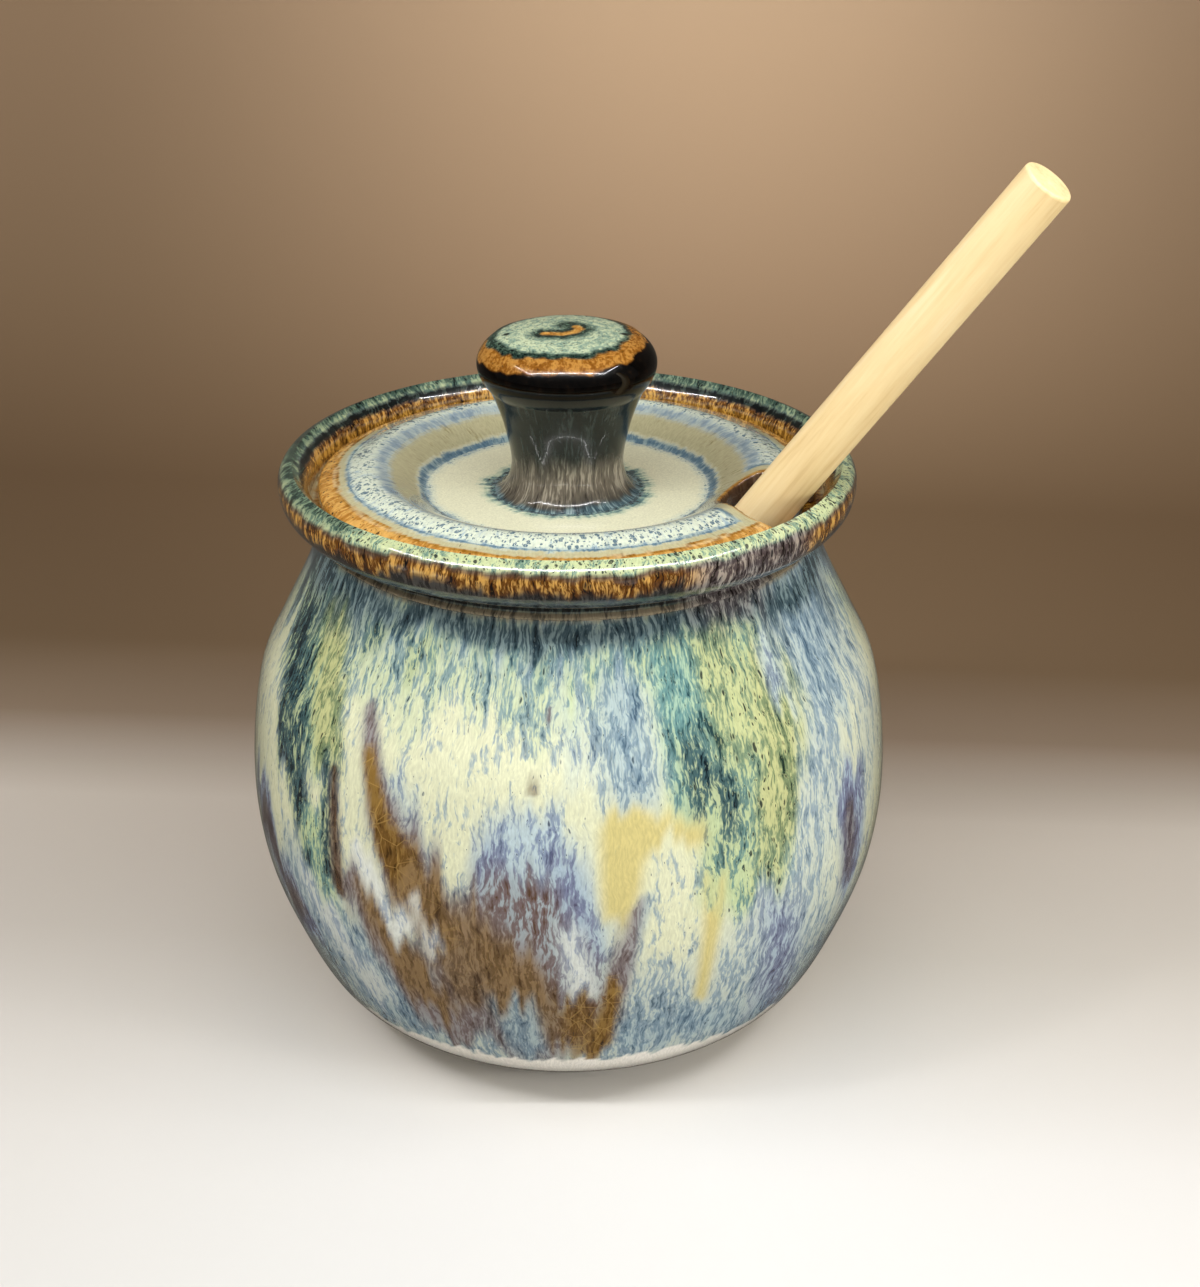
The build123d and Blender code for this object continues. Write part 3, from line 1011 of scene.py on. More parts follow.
# The near side's runs, from the lowest layer up: degrees from the front and height, at the
# start and at the end, then the width at both, and where needed feather, share and ragged.
FRONT_RUNS: list[Run] = [
    # the blue-grey shoulder on the right, and pale streaks low on both sides
    Run(Tone.BLUE, (52, 84), (50, 72), (44, 34), 14, 0.8),
    Run(Tone.MIST, (60, 78), (58, 56), (34, 26), 12, 0.8),
    Run(Tone.BLUE, (-52, 38), (-34, 16), (16, 18), 8, 0.8),
    Run(Tone.MILK, (-52, 40), (-40, 20), (6, 8), 6, 0.7),
    Run(Tone.MIST, (40, 46), (44, 24), (22, 20), 12, 0.8),
    # cream at both outlines, and in the middle
    Run(Tone.CREAM, (-82, 67), (-72, 42), (12, 12), 6),
    Run(Tone.CREAM, (62, 66), (60, 50), (10, 9), 7, 0.7),
    Run(Tone.CREAM, (-19, 61), (-14, 56), (22, 24), 6),
    Run(Tone.CREAM, (-44, 66), (-40, 46), (6, 4), 3),
    # greens on the right
    Run(Tone.SAGE, (31, 82), (29, 50), (25, 22), 6),
    Run(Tone.MOSS, (43, 72), (38, 54), (12, 9), 5),
    Run(Tone.MOSS, (31, 80), (32, 66), (8, 9), 5, 0.7),
    Run(Tone.TEAL, (21, 77), (22, 61), (8, 8), 5),
    Run(Tone.INK, (22, 68), (25, 56), (5, 9), 5, 0.9),
    Run(Tone.INK, (26, 60), (25, 50), (7, 4), 5, 0.7),
    Run(Tone.LILAC, (44, 75), (44, 70), (5, 5), 4, 0.8),
    Run(Tone.MOSS, (38, 56), (35, 44), (8, 6), 5, 0.8),
    # greens on the left
    Run(Tone.SAGE, (-66, 83), (-50, 62), (18, 9), 6),
    Run(Tone.MOSS, (-58, 79), (-47, 62), (9, 7), 4),
    Run(Tone.INK, (-74, 82), (-58, 60), (13, 9), 5),
    Run(Tone.INK, (-59, 62), (-50, 44), (8, 5), 4),
    Run(Tone.SAGE, (-50, 50), (-46, 36), (6, 4), 4),
    # the dark fringe under the neck
    Run(Tone.SHOULDER, (-78, 82), (-44, 81), (9, 7), 7, 0.8),
    Run(Tone.SHOULDER, (44, 82), (70, 80), (6, 9), 9, 0.8),
    Run(Tone.BLUE, (60, 78), (58, 68), (16, 12), 8, 0.8),
    Run(Tone.SAGE, (-44, 81), (16, 81), (6, 6), 6, 0.7),
    Run(Tone.INK, (-44, 80), (-32, 79), (4, 4), 4, 0.7),
    # lavender under the shoulder
    Run(Tone.BLUE, (10, 75), (11, 64), (9, 9), 7, 0.9),
    Run(Tone.LILAC, (1, 73), (2, 66), (6, 5), 6, 0.4),
    # violet in the middle
    Run(Tone.LILAC, (-6, 52), (-3, 40), (15, 17), 6),
    Run(Tone.VIOLET, (-13, 50), (-9, 38), (5, 12), 5),
    Run(Tone.VIOLET, (0, 51), (2, 36), (5, 7), 4),
    Run(Tone.PLUM, (-8, 42), (-2, 24), (14, 20), 6),
    Run(Tone.VIOLET, (38, 36), (46, 14), (8, 12), 9, 0.9),
    Run(Tone.BLUE, (10, 18), (46, 11), (10, 8), 8),
    # smooth yellow-beige pools
    Run(Tone.YELLOW, (10, 56), (8, 43), (8, 4), 3, 1, 0.5),
    Run(Tone.YELLOW, (11, 56), (20, 54), (6, 5), 4, 1, 0.5),
    Run(Tone.CREAM, (17, 50), (17, 36), (8, 6), 4),
    Run(Tone.YELLOW, (24, 46), (25, 23), (3.4, 2.6), 2.5, 1, 0.6),
    Run(Tone.SAGE, (24.6, 58), (23.6, 42), (2.2, 1.6), 1.5, 0.8),
    # the big brown run on the left, which forks and meets low down
    Run(Tone.LILAC, (-31, 62), (-24, 46), (4, 6), 3, 0.6),
    Run(Tone.MAUVE, (-39.5, 69), (-33, 56), (2.4, 6.5), 2.5, 1, 0.3),
    Run(Tone.MAUVE, (-32, 54), (-14, 30), (8, 20), 5, 0.9),
    Run(Tone.MAUVE, (-41, 45), (-24, 17), (4, 13), 4),
    Run(Tone.MAUVE, (-26, 24), (-6, 14), (10, 10), 6, 0.9),
    Run(Tone.OLIVE, (-37, 63), (-31, 50), (2.8, 6), 2, 1, 0.3),
    Run(Tone.OLIVE, (-31, 52), (-23, 40), (5.5, 9), 3, 1, 0.8),
    Run(Tone.BROWN, (-24, 43), (-12, 27), (11, 16), 5, 0.88),
    Run(Tone.BROWN, (-38, 42), (-26, 22), (3, 9), 4),
    Run(Tone.BROWN, (-12, 33), (-2, 20), (8, 9), 5, 0.85),
    Run(Tone.OLIVE, (1, 26), (3, 12), (5, 5), 3, 0.9),
    Run(Tone.MILK, (-39, 48), (-29, 36), (3, 4.4), 3),
    Run(Tone.MILK, (-26, 40), (-23, 34), (2.4, 3), 2.5, 0.7),
    Run(Tone.BLUE, (-10, 22), (-8, 14), (7, 6), 4, 0.9),
    Run(Tone.MILK, (0, 40), (2, 29), (3, 4), 4, 0.9),
    # the narrow brown stroke beside it, with a black edge
    Run(Tone.INK, (-47, 61), (-45.8, 41), (2, 2), 1.4, 1, 0.3),
    Run(Tone.UMBER, (-44.8, 59), (-43.4, 40), (1.8, 2.8), 1.6, 1, 0.3),
    # the brown spots at both outlines
    Run(Tone.VIOLET, (-72, 44), (-58, 28), (10, 9), 4),
    Run(Tone.UMBER, (-71, 42), (-59, 30), (6, 5), 4, 0.8),
    Run(Tone.VIOLET, (58, 50), (61, 34), (10, 7), 4),
    Run(Tone.UMBER, (57.5, 46), (59, 36), (5, 4), 4, 0.7),
    # the short brown stroke on the right
    Run(Tone.BLUE, (12.5, 45), (9, 34), (2.4, 3), 2, 0.8),
    Run(Tone.MAUVE, (11, 45), (8, 30), (2.2, 4), 2.2, 0.95, 0.9),
    Run(Tone.OLIVE, (7, 28), (5, 14), (3.4, 5), 2.5),
    # small marks
    Run(Tone.PLUM, (-3, 73.4), (-3, 71.8), (0.8, 1.0), 0.8, 1, 0.1),
    Run(Tone.UMBER, (-6.4, 65), (-6.2, 62.4), (0.7, 1.5), 0.9, 0.9, 0.1),
    Run(Tone.INK, (43, 80.4), (43, 79.4), (0.9, 1.1), 0.7, 1, 0.1),
]


# ---- the lid ------------------------------------------------------------------------------
@dataclass
class Lid:
    """The loose lid: a rounded ring round a sunken middle, with a notch for the dipper."""

    ledge_z: float = LEDGE_Z
    radius: float = 39.8
    edge: float = 2.0                # height of the edge over the ledge
    edge_round: float = 1.0
    shoulder: Point = (35.6, 94.5)
    roll: Point = (31.2, 95.6)       # the top of the rounded ring
    dish: Point = (23.0, 91.4)       # where the sunken middle starts to rise
    seat_r: float = 13.0
    seat_z: float = KNOB_SEAT_Z
    under_z: float = 87.8
    seat_end_r: float = 28.0
    arris: float = 0.4               # how far the lower corner is rubbed off
    notch_width: float = 18.0
    notch_end_x: float = 26.4
    cutter_height: float = 20.0
    cutter_sides: int = 96
    grain: float = 0.36              # size of the mesh's faces after the notch is cut
    softening: int = 3               # passes of smoothing over the whole lid
    sponged: float = 3.0             # how far round the notch a wet sponge rounds the clay
    sponging: int = 14               # passes of smoothing there
    glaze_r: float = 30.0            # radius at which the glaze's pattern has its true width
    sides: int = 288
    seed: int = 17

    def outline(self) -> Outline:
        """Draws the half section.

        Returns:
            The line from the top's middle round to the underside's middle.
        """
        top = self.ledge_z + self.edge
        pen = Outline((0.0, self.seat_z))
        pen.line((self.seat_r, self.seat_z), spacing=1.2)
        pen.line(self.dish, spacing=0.8)
        pen.mark("dish")
        pen.curve([(self.dish[0] + 0.9, self.dish[1] + 0.7), self.roll, self.shoulder,
                   (self.radius - self.edge_round, top + self.edge_round),
                   (self.radius - 0.3, top + 0.6), (self.radius, top)], spacing=0.5)
        pen.mark("edge")
        pen.line((self.radius, self.ledge_z + self.arris), spacing=0.5)
        pen.line((self.radius - self.arris, self.ledge_z), spacing=0.4)
        pen.line((self.seat_end_r, self.ledge_z), spacing=1.2)
        pen.line((self.dish[0] - 1.6, self.under_z), spacing=1.2)
        pen.line((0.0, self.under_z), spacing=1.5)
        return pen

    def build(self) -> bpy.types.Object:
        """Models and glazes the lid.

        Returns:
            The lid.
        """
        outline = self.outline()
        piece = turned("lid_plate", outline, self.sides)
        self.cut_notch(piece)
        coat = Coat(piece, outline, Tone.DISH, self.glaze_r, self.seed,
                    flat=outline.marks["dish"])
        self.glaze(coat, outline)
        coat.write()
        RutileGlaze("speckled_lid_glaze", dash_width=0.85, dash_length=1.8, contrast=0.6,
                    wander=1.5).dress(piece)
        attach(piece, "lid")
        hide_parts("lid")
        return piece

    def glaze(self, coat: Coat, outline: Outline) -> None:
        """Lays the lid's tones in rings, and round the notch.

        Args:
            coat: The lid's glaze.
            outline: Its half section.
        """
        edge = outline.marks["edge"]
        gap = self.notch_gap(coat.spots)

        def out(radius: float) -> float:
            """Distance along the outline of a radius on the top."""
            return outline.at(radius, 0, 0.0, edge)

        def by_notch(reach: float, feather: float) -> np.ndarray:
            """Share of a tone that lies up to some distance from the notch."""
            return ramp(reach - gap, 0, feather)

        on_ring = (coat.along > out(28.8)) * (coat.along < out(35.4))
        coat.band(Tone.TEAL, 0.0, out(13.4), feather=2.4, ragged=0.8)
        coat.band(Tone.SHOULDER, 0.0, out(12.4), feather=1.8, ragged=0.8)
        coat.band(Tone.PALE_BLUE, out(21.6), out(24.0), feather=2.0, ragged=0.4)
        coat.band(Tone.RING_BLUE, out(22.6), out(24.0), feather=1.1, ragged=0.3)
        coat.band(Tone.KHAKI, out(24.2), out(28.8), feather=1.2, ragged=0.3)
        coat.band(Tone.PALE_BLUE, out(28.8), out(35.4), feather=1.2, ragged=0.3)
        coat.band(Tone.DUSK, out(28.4), out(30.6), feather=1.8, ragged=0.3)
        coat.band(Tone.RING_BLUE, out(34.8), out(35.5), feather=0.6, ragged=0.15)
        coat.lay(Tone.RING_BLUE, by_notch(reach=4.0, feather=0.8) * on_ring)
        coat.lay(Tone.KHAKI, by_notch(reach=3.2, feather=1.0))
        coat.band(Tone.KHAKI, out(35.5), out(36.7), feather=0.4, ragged=0.2)
        coat.band(Tone.HONEY, out(36.7), out(37.3), feather=0.4, ragged=0.25)
        coat.band(Tone.SAND, out(37.3), outline.length, feather=0.4, ragged=0.25)
        coat.lay(Tone.HONEY, by_notch(reach=1.3, feather=0.9))
        # the notch's wall: its brown glaze, darkened further as painted shade and reflection
        coat.lay(Tone.UMBER, by_notch(reach=0.4, feather=0.4))
        coat.calm = [(0.0, 1.6)]

    def cut_notch(self, piece: bpy.types.Object) -> None:
        """Cuts the notch and rounds what it leaves, as a wet sponge does.

        Args:
            piece: The lid.
        """
        half = self.notch_width / 2
        centre = self.notch_end_x + half
        tall = self.cutter_height
        deselect_all()
        bpy.ops.mesh.primitive_cylinder_add(
            vertices=self.cutter_sides, radius=half * MM, depth=tall * MM,
            location=(centre * MM, 0, self.ledge_z * MM))
        round_end = bpy.context.object
        deselect_all()
        bpy.ops.mesh.primitive_cube_add(
            size=1, location=((centre + tall / 2) * MM, 0, self.ledge_z * MM),
            scale=(tall * MM, self.notch_width * MM, tall * MM))
        slot = bpy.context.object
        for tool in (round_end, slot):
            apply_modifier(piece, "BOOLEAN", operation="DIFFERENCE", object=tool,
                           solver="EXACT")
            bpy.data.objects.remove(tool)
        apply_modifier(piece, "REMESH", mode="VOXEL", voxel_size=self.grain * MM,
                       use_smooth_shade=True)
        apply_modifier(piece, "SMOOTH", factor=0.5, iterations=self.softening)
        places = np.array([tuple(vertex.co)[:2] for vertex in piece.data.vertices]) / MM
        near = np.flatnonzero(self.notch_gap(places) < self.sponged)
        group = piece.vertex_groups.new(name="notch")
        group.add(near.tolist(), 1.0, "REPLACE")
        apply_modifier(piece, "SMOOTH", factor=0.5, iterations=self.sponging,
                       vertex_group=group.name)
        settle(piece)

    def notch_gap(self, places: np.ndarray) -> np.ndarray:
        """Measures how far some places are from the notch.

        Args:
            places: Their x and y, in millimetres.

        Returns:
            Each one's distance from the notch's edge, less than 0 inside it.
        """
        half = self.notch_width / 2
        past = np.minimum(places[:, 0] - self.notch_end_x - half, 0)
        return np.hypot(past, places[:, 1]) - half


# ---- the knob -----------------------------------------------------------------------------
@dataclass
class Knob:
    """The flared knob that the lid is lifted by. Heights are over its seat."""

    seat_z: float = KNOB_SEAT_Z
    height: float = 26.6
    foot_r: float = 11.6
    waist: Point = (8.9, 4.7)
    neck: Point = (11.8, 15.4)
    cap: Point = (14.2, 21.0)
    top_r: float = 12.1
    turn: float = 22.3               # degrees that the marks on its top are turned
    sides: int = 192
    seed: int = 29

    def faced(self, right: float, back: float) -> Point:
        """Turns a place on the top with the marks.

        Args:
            right: How far it is to the right of the middle.
            back: How far it is behind the middle.

        Returns:
            Its x and y.
        """
        turn = math.radians(self.turn)
        return (right * math.cos(turn) - back * math.sin(turn),
                right * math.sin(turn) + back * math.cos(turn))

    def outline(self) -> Outline:
        """Draws the half section.

        Returns:
            The line from the top's middle down to the foot's middle.
        """
        top = self.seat_z + self.height
        pen = Outline((0.0, top))
        pen.curve([(5.0, top - 0.2), (9.5, top - 0.8), (self.top_r - 0.4, top - 1.5)],
                  spacing=0.4)
        pen.mark("edge")
        out, cap = self.cap[0], self.seat_z + self.cap[1]
        pen.curve([(out - 1.0, cap + 2.7), (out - 0.2, cap + 1.3), (out, cap),
                   (out - 0.35, cap - 1.5), (out - 1.2, cap - 3.0), (out - 2.0, cap - 4.0)],
                  spacing=0.2)
        pen.curve([(self.neck[0] - 0.3, self.seat_z + self.neck[1]),
                   (self.neck[0] - 1.7, self.seat_z + self.neck[1] - 4.0),
                   (self.waist[0], self.seat_z + self.waist[1]),
                   (self.waist[0] + 0.7, self.seat_z + 1.9),
                   (self.foot_r - 1.0, self.seat_z + 0.5),
                   (self.foot_r, self.seat_z)], spacing=0.3)
        pen.mark("foot")
        pen.line((0.0, self.seat_z), spacing=2.0)
        return pen

    def build(self) -> bpy.types.Object:
        """Models and glazes the knob.

        Returns:
            The knob.
        """
        outline = self.outline()
        piece = turned("knob_body", outline, self.sides)
        coat = Coat(piece, outline, Tone.SMOKE, self.top_r, self.seed,
                    flat=outline.marks["edge"])
        self.glaze(coat, outline)
        coat.write()
        RutileGlaze("dark_knob_glaze", hair_width=0.4, lock_width=1.1, dash_width=0.6,
                    dash_length=1.6, contrast=0.75, wander=1.5, sheen=0.05,
                    coat=0.4).dress(piece)
        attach(piece, "lid")
        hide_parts("lid_knob")
        return piece

    def glaze(self, coat: Coat, outline: Outline) -> None:
        """Lays the knob's tones in rings, and the marks on its top.

        Args:
            coat: The knob's glaze.
            outline: Its half section.
        """
        edge, foot = outline.marks["edge"], outline.marks["foot"]
        low_side = -160.0                # degrees towards which the rings dip
        coat.band(Tone.JADE, -9.0, edge - 1.2, feather=1.4, ragged=0.3, tilt=(low_side, 0.5))
        coat.band(Tone.BLACK, edge + 1.0, edge + 8.5, feather=1.6, ragged=0.7)
        coat.band(Tone.FOREST, edge - 1.7, edge + 1.4, feather=1.0, ragged=0.3,
                  tilt=(low_side, 0.9))
        coat.band(Tone.CARAMEL, edge - 0.3, edge + 2.5, feather=0.5, ragged=0.5,
                  tilt=(low_side, 1.4))
        coat.band(Tone.TAUPE, foot - 7.5, foot - 1.0, feather=5.0, ragged=0.8)
        coat.band(Tone.SHOULDER, foot - 0.9, foot + 5.0, feather=1.2, ragged=0.5)
        # the spiral groove on the top is not modelled but painted: a sandy line of glaze in a
        # dark green band, which is partly the glaze's own colour and partly painted shade of
        # the groove
        hook = [self.faced(*place) for place in
                ((-3.4, -2.3), (-0.6, -2.8), (1.2, -1.8), (2.0, -0.2), (1.5, 1.0), (0.4, 1.8))]
        coat.stroke(Tone.FOREST, hook, width=4.6, feather=2.2)
        coat.stroke(Tone.SAND, hook[:-1], width=1.4, feather=0.5)
        # two pinholes, painted as black dots: the pits are not modelled, and their shade is
        # painted
        for right, back in ((-9.5, -0.6), (8.9, -0.8)):
            pinhole = self.faced(right, back)
            beside = (pinhole[0] + 0.1, pinhole[1])
            coat.stroke(Tone.BLACK, [pinhole, beside], width=1.0, feather=0.5)
        coat.calm = [(edge + 3.5, 4.0), (edge + 5.0, 1.0)]


# ---- the dipper ---------------------------------------------------------------------------
@dataclass
class Dipper:
    """The wooden dipper: a plain dowel in a turned and grooved head."""

    lean: float = 36.0               # degrees from upright, towards +X
    dowel_d: float = 8.0
    tip: tuple[float, float, float] = (-24.18, 0.0, 12.88)
    socket_start: float = 20.0       # how far from the tip the dowel starts
    length: float = 166.98
    end_ease: float = 0.5
    ease_steps: int = 4
    ease_sharp: float = 60.0         # degrees between faces at an edge that is eased
    sides: int = 96

    def build(self) -> bpy.types.Object:
        """Models the stick and dresses the head, which the CAD model gives.

        Returns:
            The stick.
        """
        lean = math.radians(self.lean)
        axis = Vector((math.sin(lean), 0, math.cos(lean)))
        depth = self.length - self.socket_start
        middle = Vector(self.tip) + axis * (self.socket_start + depth / 2)
        deselect_all()
        bpy.ops.mesh.primitive_cylinder_add(
            vertices=self.sides, radius=self.dowel_d / 2 * MM, depth=depth * MM,
            location=middle * MM, rotation=(0, lean, 0))
        stick = bpy.context.object
        stick.name = "birch_dowel"
        settle(stick)
        self.ease_ends(stick)
        Birch("sanded_birch_dowel", self.lean).dress(stick)
        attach(stick, "dipper")
        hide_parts("dipper_stick")
        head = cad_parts["dipper_head"]
        Birch("turned_birch_head", self.lean).dress(head)
        return stick

    def ease_ends(self, stick: bpy.types.Object) -> None:
        """Rounds the two end edges.

        Args:
            stick: The stick.
        """
        deselect_all()
        bpy.context.view_layer.objects.active = stick
        stick.select_set(True)
        bpy.ops.object.mode_set(mode="EDIT")
        bpy.ops.mesh.select_all(action="DESELECT")
        bpy.ops.mesh.edges_select_sharp(sharpness=math.radians(self.ease_sharp))
        bpy.ops.mesh.bevel(offset=self.end_ease * MM, segments=self.ease_steps)
        bpy.ops.object.mode_set(mode="OBJECT")
        settle(stick)


# ---- the studio ---------------------------------------------------------------------------
# The paper from its front to its back: a place from 0 to 1, and its colour in the middle of
# the view and at the sides. These colours paint its light and shade: painted light in the
# middle of the view, painted shade at the sides, and a dark band of painted shade where the
# floor bends up.
PAPER_LIGHT_AND_SHADE = [
    (0.00, "#dcdcda", "#cfcdc9"), (0.10, "#dad8d5", "#cecbc6"), (0.22, "#c9c4bb", "#bfb9b1"),
    (0.321, "#c8c0b5", "#c2bab0"), (0.391, "#897866", "#7d6c5a"), (0.451, "#6c5841", "#604d37"),
    (0.58, "#67523a", "#5a4630"), (0.72, "#947a5f", "#6e5942"), (0.90, "#ba9d7e", "#816a52"),
    (1.00, "#c6a98a", "#86705a"),
]


@dataclass(frozen=True)
class SweepPaper:
    """Matt paper, pale in front and brown behind, with no shine to take the eye. Its light and
    shade are painted on it: paler in the middle of the view, darker at the sides and where it
    bends up. It is one-sided: from behind it can be looked through."""

    name: str
    heading: float                   # degrees that the view turns from +Y towards -X
    front: float = -0.1              # metres along and up the paper at which its painted light and shade start
    back: float = 0.4                # metres at which they end
    shade_skew: float = 0.07               # how far the bands of painted shade rise to the left
    lit_middle_aside: float = 0.03              # metres by which the painted light in the middle lies to the right
    lit_middle_spread: float = 0.16             # metres from there to the painted shade at the sides
    mirrored: str = "#4a443c"        # a painted dim reflection: its colour where the glaze mirrors it
    roughness: float = 0.9
    sheen: float = 0.1

    def dress(self, sweep: bpy.types.Object) -> None:
        """Gives the sweep this paper, with painted light towards the middle of the view.

        Args:
            sweep: The sweep.
        """
        g = Graph(self.name)
        place = g.add("TexCoord").outputs["Object"]
        faced = g.add("Mapping", {"Vector": place, "Rotation":
                                  (0, 0, -math.radians(self.heading))})
        x, y, z = g.add("SeparateXYZ", {0: faced}).outputs
        level = g.add("Math", {0: y, 1: z}, operation="ADD")
        far = g.add("Math", {0: x, 1: self.shade_skew, 2: level}, operation="MULTIPLY_ADD")
        depth = g.add("MapRange", {0: far, 1: self.front, 2: self.back})
        # painted light and shade: the paper's colours along it, in the middle of the view and
        # at its sides
        middle = g.add("ValToRGB", {0: depth},
                       stops=[(shade[0], shade[1]) for shade in PAPER_LIGHT_AND_SHADE])
        side = g.add("ValToRGB", {0: depth},
                     stops=[(shade[0], shade[2]) for shade in PAPER_LIGHT_AND_SHADE])
        # painted light in the middle of the view, fading into the painted shade at the sides
        off = g.add("Math", {0: x, 1: self.lit_middle_aside}, operation="SUBTRACT")
        away = g.add("Math", {0: off}, operation="ABSOLUTE")
        share = g.add("MapRange", {0: away, 1: 0.0, 2: self.lit_middle_spread},
                      interpolation_type="SMOOTHSTEP")
        colour = g.add("Mix", {0: share, 6: middle.outputs[0], 7: side.outputs[0]},
                       data_type="RGBA")
        # where the glaze mirrors the paper, a painted dim reflection takes the place of its
        # colour
        glossy = g.add("LightPath").outputs["Is Glossy Ray"]
        seen = g.add("Mix", {0: glossy, 6: colour.outputs[2], 7: linear(self.mirrored)},
                     data_type="RGBA")
        shader = g.add("BsdfPrincipled", {"Base Color": seen.outputs[2],
                                          "Roughness": self.roughness,
                                          "Specular IOR Level": self.sheen})
        behind = g.add("NewGeometry").outputs["Backfacing"]
        clear = g.add("BsdfTransparent")
        sheet = g.add("MixShader", {0: behind, 1: shader, 2: clear})
        g.add("OutputMaterial", {"Surface": sheet})
        sweep.data.materials.append(g.material)


@dataclass(frozen=True)
class Lamp:
    """One area lamp, laid out before the pot's front and turned to face the pot."""

    name: str
    place: Point                     # its middle, to the right of and behind the pot
    size: Point                      # its length and its width
    power: float                     # in watts
    turn: float = 0.0                # degrees that it is turned from side to side
    height: float = 400.0
    lights: bool = True              # whether it lights what is matt
    mirrored: bool = True            # whether the glaze mirrors it
    aim_height: float = 60.0         # height on the pot's axis that it faces

    def hang(self, faced: Matrix) -> None:
        """Hangs the lamp.

        Args:
            faced: Turns what is laid out before the pot's front towards the camera.
        """
        lamp = bpy.data.lights.new(self.name, "AREA")
        lamp.shape = "RECTANGLE"
        lamp.size = self.size[0] * MM
        lamp.size_y = self.size[1] * MM
        lamp.energy = self.power
        holder = bpy.data.objects.new(self.name, lamp)
        bpy.context.scene.collection.objects.link(holder)
        holder.visible_diffuse = self.lights
        holder.visible_glossy = self.mirrored
        middle = Vector((self.place[0], self.place[1], self.height)) * MM
        across = Matrix.Rotation(math.radians(self.turn), 3, "Z") @ Vector((1, 0, 0))
        back = middle - Vector((0, 0, self.aim_height * MM))
        back -= back.dot(across) * across
        back.normalize()
        up = back.cross(across)
        facing = Matrix((across, up, back)).transposed().to_4x4()
        holder.matrix_world = faced @ Matrix.Translation(middle) @ facing


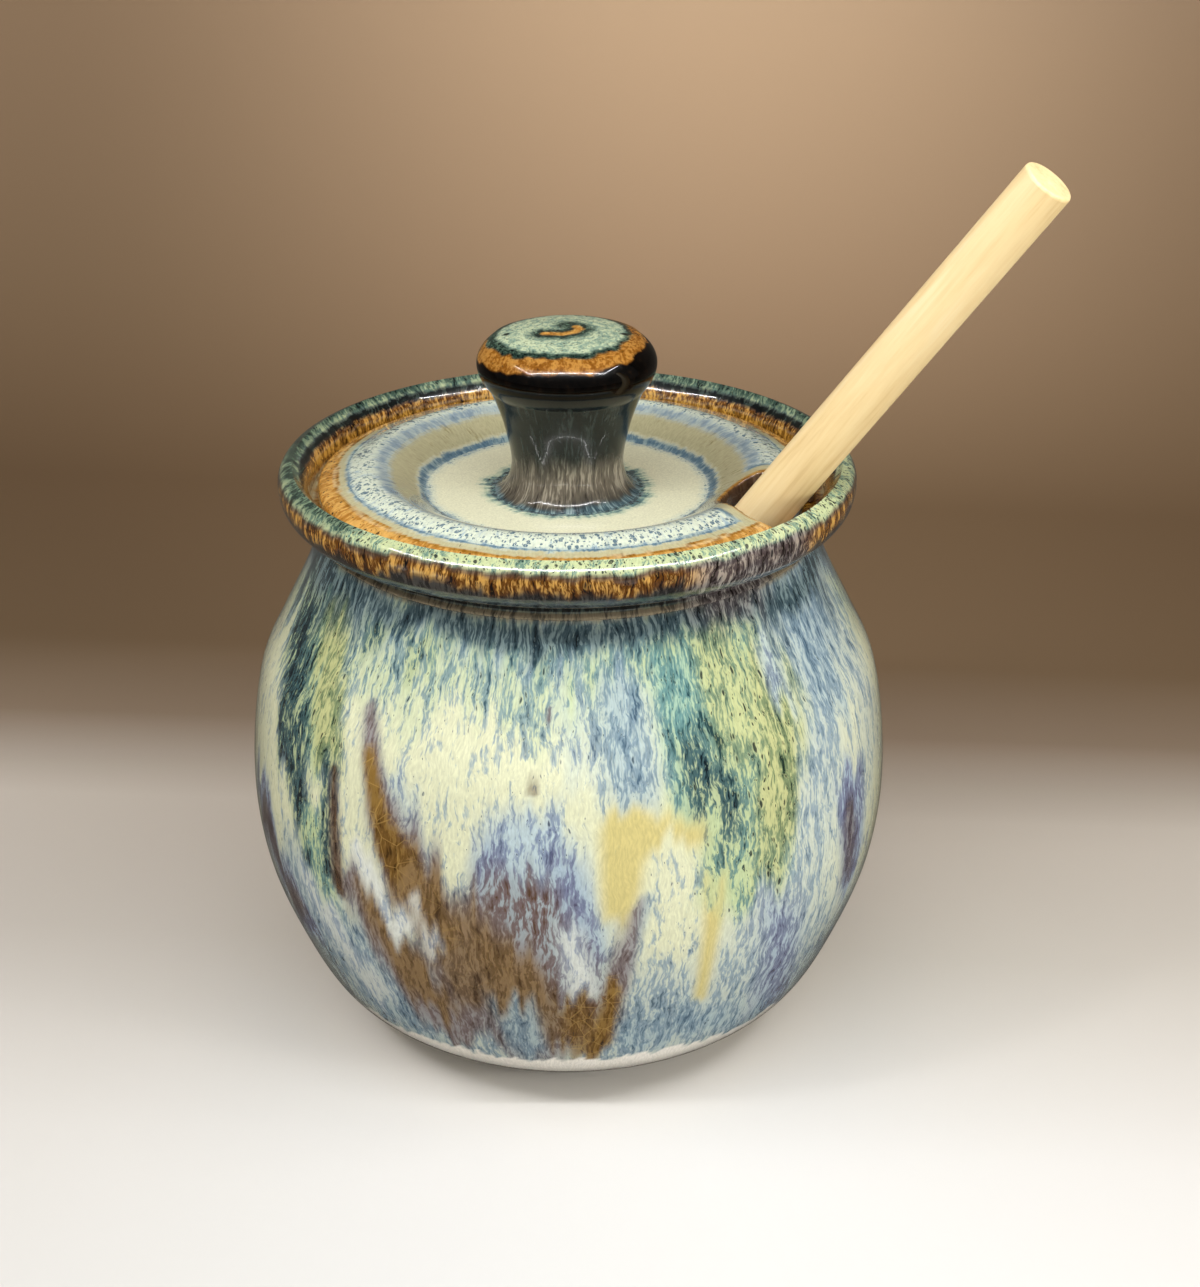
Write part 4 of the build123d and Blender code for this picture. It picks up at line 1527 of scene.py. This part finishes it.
@dataclass
class Studio:
    """A pale sweep under an even sky, and a camera. Thin lamp strips hang in front and to both
    sides and draw bright lines on the glaze. Two square lamps add light that isn't mirrored."""

    strip_front: float = 200.0       # how far in front of the pot the strips hang
    strip_side: float = 295.0        # and how far to either side of it
    strip_width: float = 3.0
    square: float = 60.0             # size of a square lamp
    front_power: float = 1.15
    gleam_power: float = 9.0
    left_power: float = 0.4
    right_power: float = 0.4
    side_power: float = 0.45
    fill_power: float = 0.4
    fill_turn: float = 52.0
    fill_height: float = 120.0
    sky: str = "#dcdbd8"
    sky_strength: float = 0.70
    sky_mirrored: float = 0.14       # its strength where the glaze mirrors it
    camera: tuple[float, float, float] = (146.8, -344.6, 234.8)
    pitch: float = 24.573            # degrees below level
    heading: float = 22.28           # degrees that the view turns from +Y towards -X
    lens: float = 69.86
    film: float = 36.0               # width of the camera's picture plane
    nearest: float = 10.0            # distance from which the camera sees
    sweep_width: float = 2400.0
    sweep_length: float = 1200.0     # of the floor, and of the backdrop above the bend
    sweep_start: float = 75.0        # where the floor starts to rise, behind the pot
    sweep_radius: float = 160.0      # of the bend
    sweep_steps: int = 32

    def build(self) -> None:
        """Sets the sweep, the lamps and the camera."""
        self.sweep()
        for lamp in self.lamps():
            lamp.hang(self.faced())
        self.world()
        self.aim()

    def lamps(self) -> list[Lamp]:
        """Lists the lamps.

        Returns:
            The four strips, one of which is only mirrored, and the two square lamps.
        """
        side, front = self.strip_side, self.strip_front
        wide, deep = (2 * side, self.strip_width), (front, self.strip_width)
        square = (self.square, self.square)
        return [
            Lamp("front_strip", (0.0, -front), wide, self.front_power),
            Lamp("gleam_strip", (0.0, -front), wide, self.gleam_power, lights=False),
            Lamp("left_strip", (-side, -front / 2), deep, self.left_power, turn=90.0),
            Lamp("right_strip", (side, -front / 2), deep, self.right_power, turn=90.0),
            Lamp("side_lamp", (-side, -front), square, self.side_power, mirrored=False),
            Lamp("fill_lamp", (side, -front), square, self.fill_power, turn=self.fill_turn,
                 height=self.fill_height, mirrored=False),
        ]

    def faced(self) -> Matrix:
        """Turns what is laid out before the pot's front towards the camera."""
        return Matrix.Rotation(math.radians(self.heading), 4, "Z")

    def sweep(self) -> None:
        """Makes the floor that curves up into a backdrop."""
        length = self.sweep_length * MM
        back = self.sweep_start * MM
        deselect_all()
        bpy.ops.mesh.primitive_plane_add(size=1, location=(0, 0, 0))
        sweep = bpy.context.object
        sweep.name = "sweep"
        bpy.ops.object.mode_set(mode="EDIT")
        bpy.ops.transform.resize(value=(self.sweep_width * MM, length, 1))
        bpy.ops.transform.translate(value=(0, back - length / 2, 0))
        bpy.ops.mesh.select_all(action="DESELECT")
        bpy.ops.object.mode_set(mode="OBJECT")
        for edge in sweep.data.edges:
            edge.select = all(sweep.data.vertices[i].co.y > 0 for i in edge.vertices)
        bpy.ops.object.mode_set(mode="EDIT")
        radius, steps = self.sweep_radius * MM, self.sweep_steps
        for i in range(steps):
            before, here = (math.pi / 2 * k / steps for k in (i, i + 1))
            step = (0, radius * (math.sin(here) - math.sin(before)),
                    radius * (math.cos(before) - math.cos(here)))
            bpy.ops.mesh.extrude_region_move(TRANSFORM_OT_translate={"value": step})
        bpy.ops.mesh.extrude_region_move(TRANSFORM_OT_translate={"value": (0, 0, length)})
        bpy.ops.object.mode_set(mode="OBJECT")
        sweep.data.transform(self.faced())
        settle(sweep)
        SweepPaper("matt_paper_sweep", self.heading).dress(sweep)

    def world(self) -> None:
        """Lights the room evenly, but leaves it dim where the glaze mirrors it."""
        world = bpy.data.worlds.new("studio")
        bpy.context.scene.world = world
        world.use_nodes = True
        tree = world.node_tree
        background = tree.nodes["Background"]
        background.inputs["Color"].default_value = linear(self.sky)
        path = tree.nodes.new("ShaderNodeLightPath")
        share = tree.nodes.new("ShaderNodeMapRange")
        share.inputs["To Min"].default_value = self.sky_strength
        share.inputs["To Max"].default_value = self.sky_mirrored
        tree.links.new(path.outputs["Is Glossy Ray"], share.inputs["Value"])
        tree.links.new(share.outputs["Result"], background.inputs["Strength"])

    def aim(self) -> None:
        """Places the camera."""
        lens = bpy.data.cameras.new("camera")
        lens.lens = self.lens
        lens.sensor_width = self.film
        lens.clip_start = self.nearest * MM
        holder = bpy.data.objects.new("camera", lens)
        bpy.context.scene.collection.objects.link(holder)
        heading, pitch = math.radians(self.heading), math.radians(self.pitch)
        forward = Vector((-math.sin(heading) * math.cos(pitch),
                          math.cos(heading) * math.cos(pitch), -math.sin(pitch)))
        holder.matrix_world = Matrix.Translation(Vector(self.camera) * MM) @ (
            forward.to_track_quat("-Z", "Y").to_matrix().to_4x4())
        bpy.context.scene.camera = holder
        bpy.context.scene.view_settings.view_transform = "Standard"


def main() -> None:
    """Builds the pieces in order and reports each."""
    logging.basicConfig(level=logging.INFO, format="%(name)s: %(message)s")
    for maker in (Pot(), Lid(), Knob(), Dipper()):
        piece = maker.build()
        log.info("%s: %d faces", piece.name, len(piece.data.polygons))
    Studio().build()
    log.info("studio: sweep, lamps and camera are set")


if __name__ == "__main__":
    main()
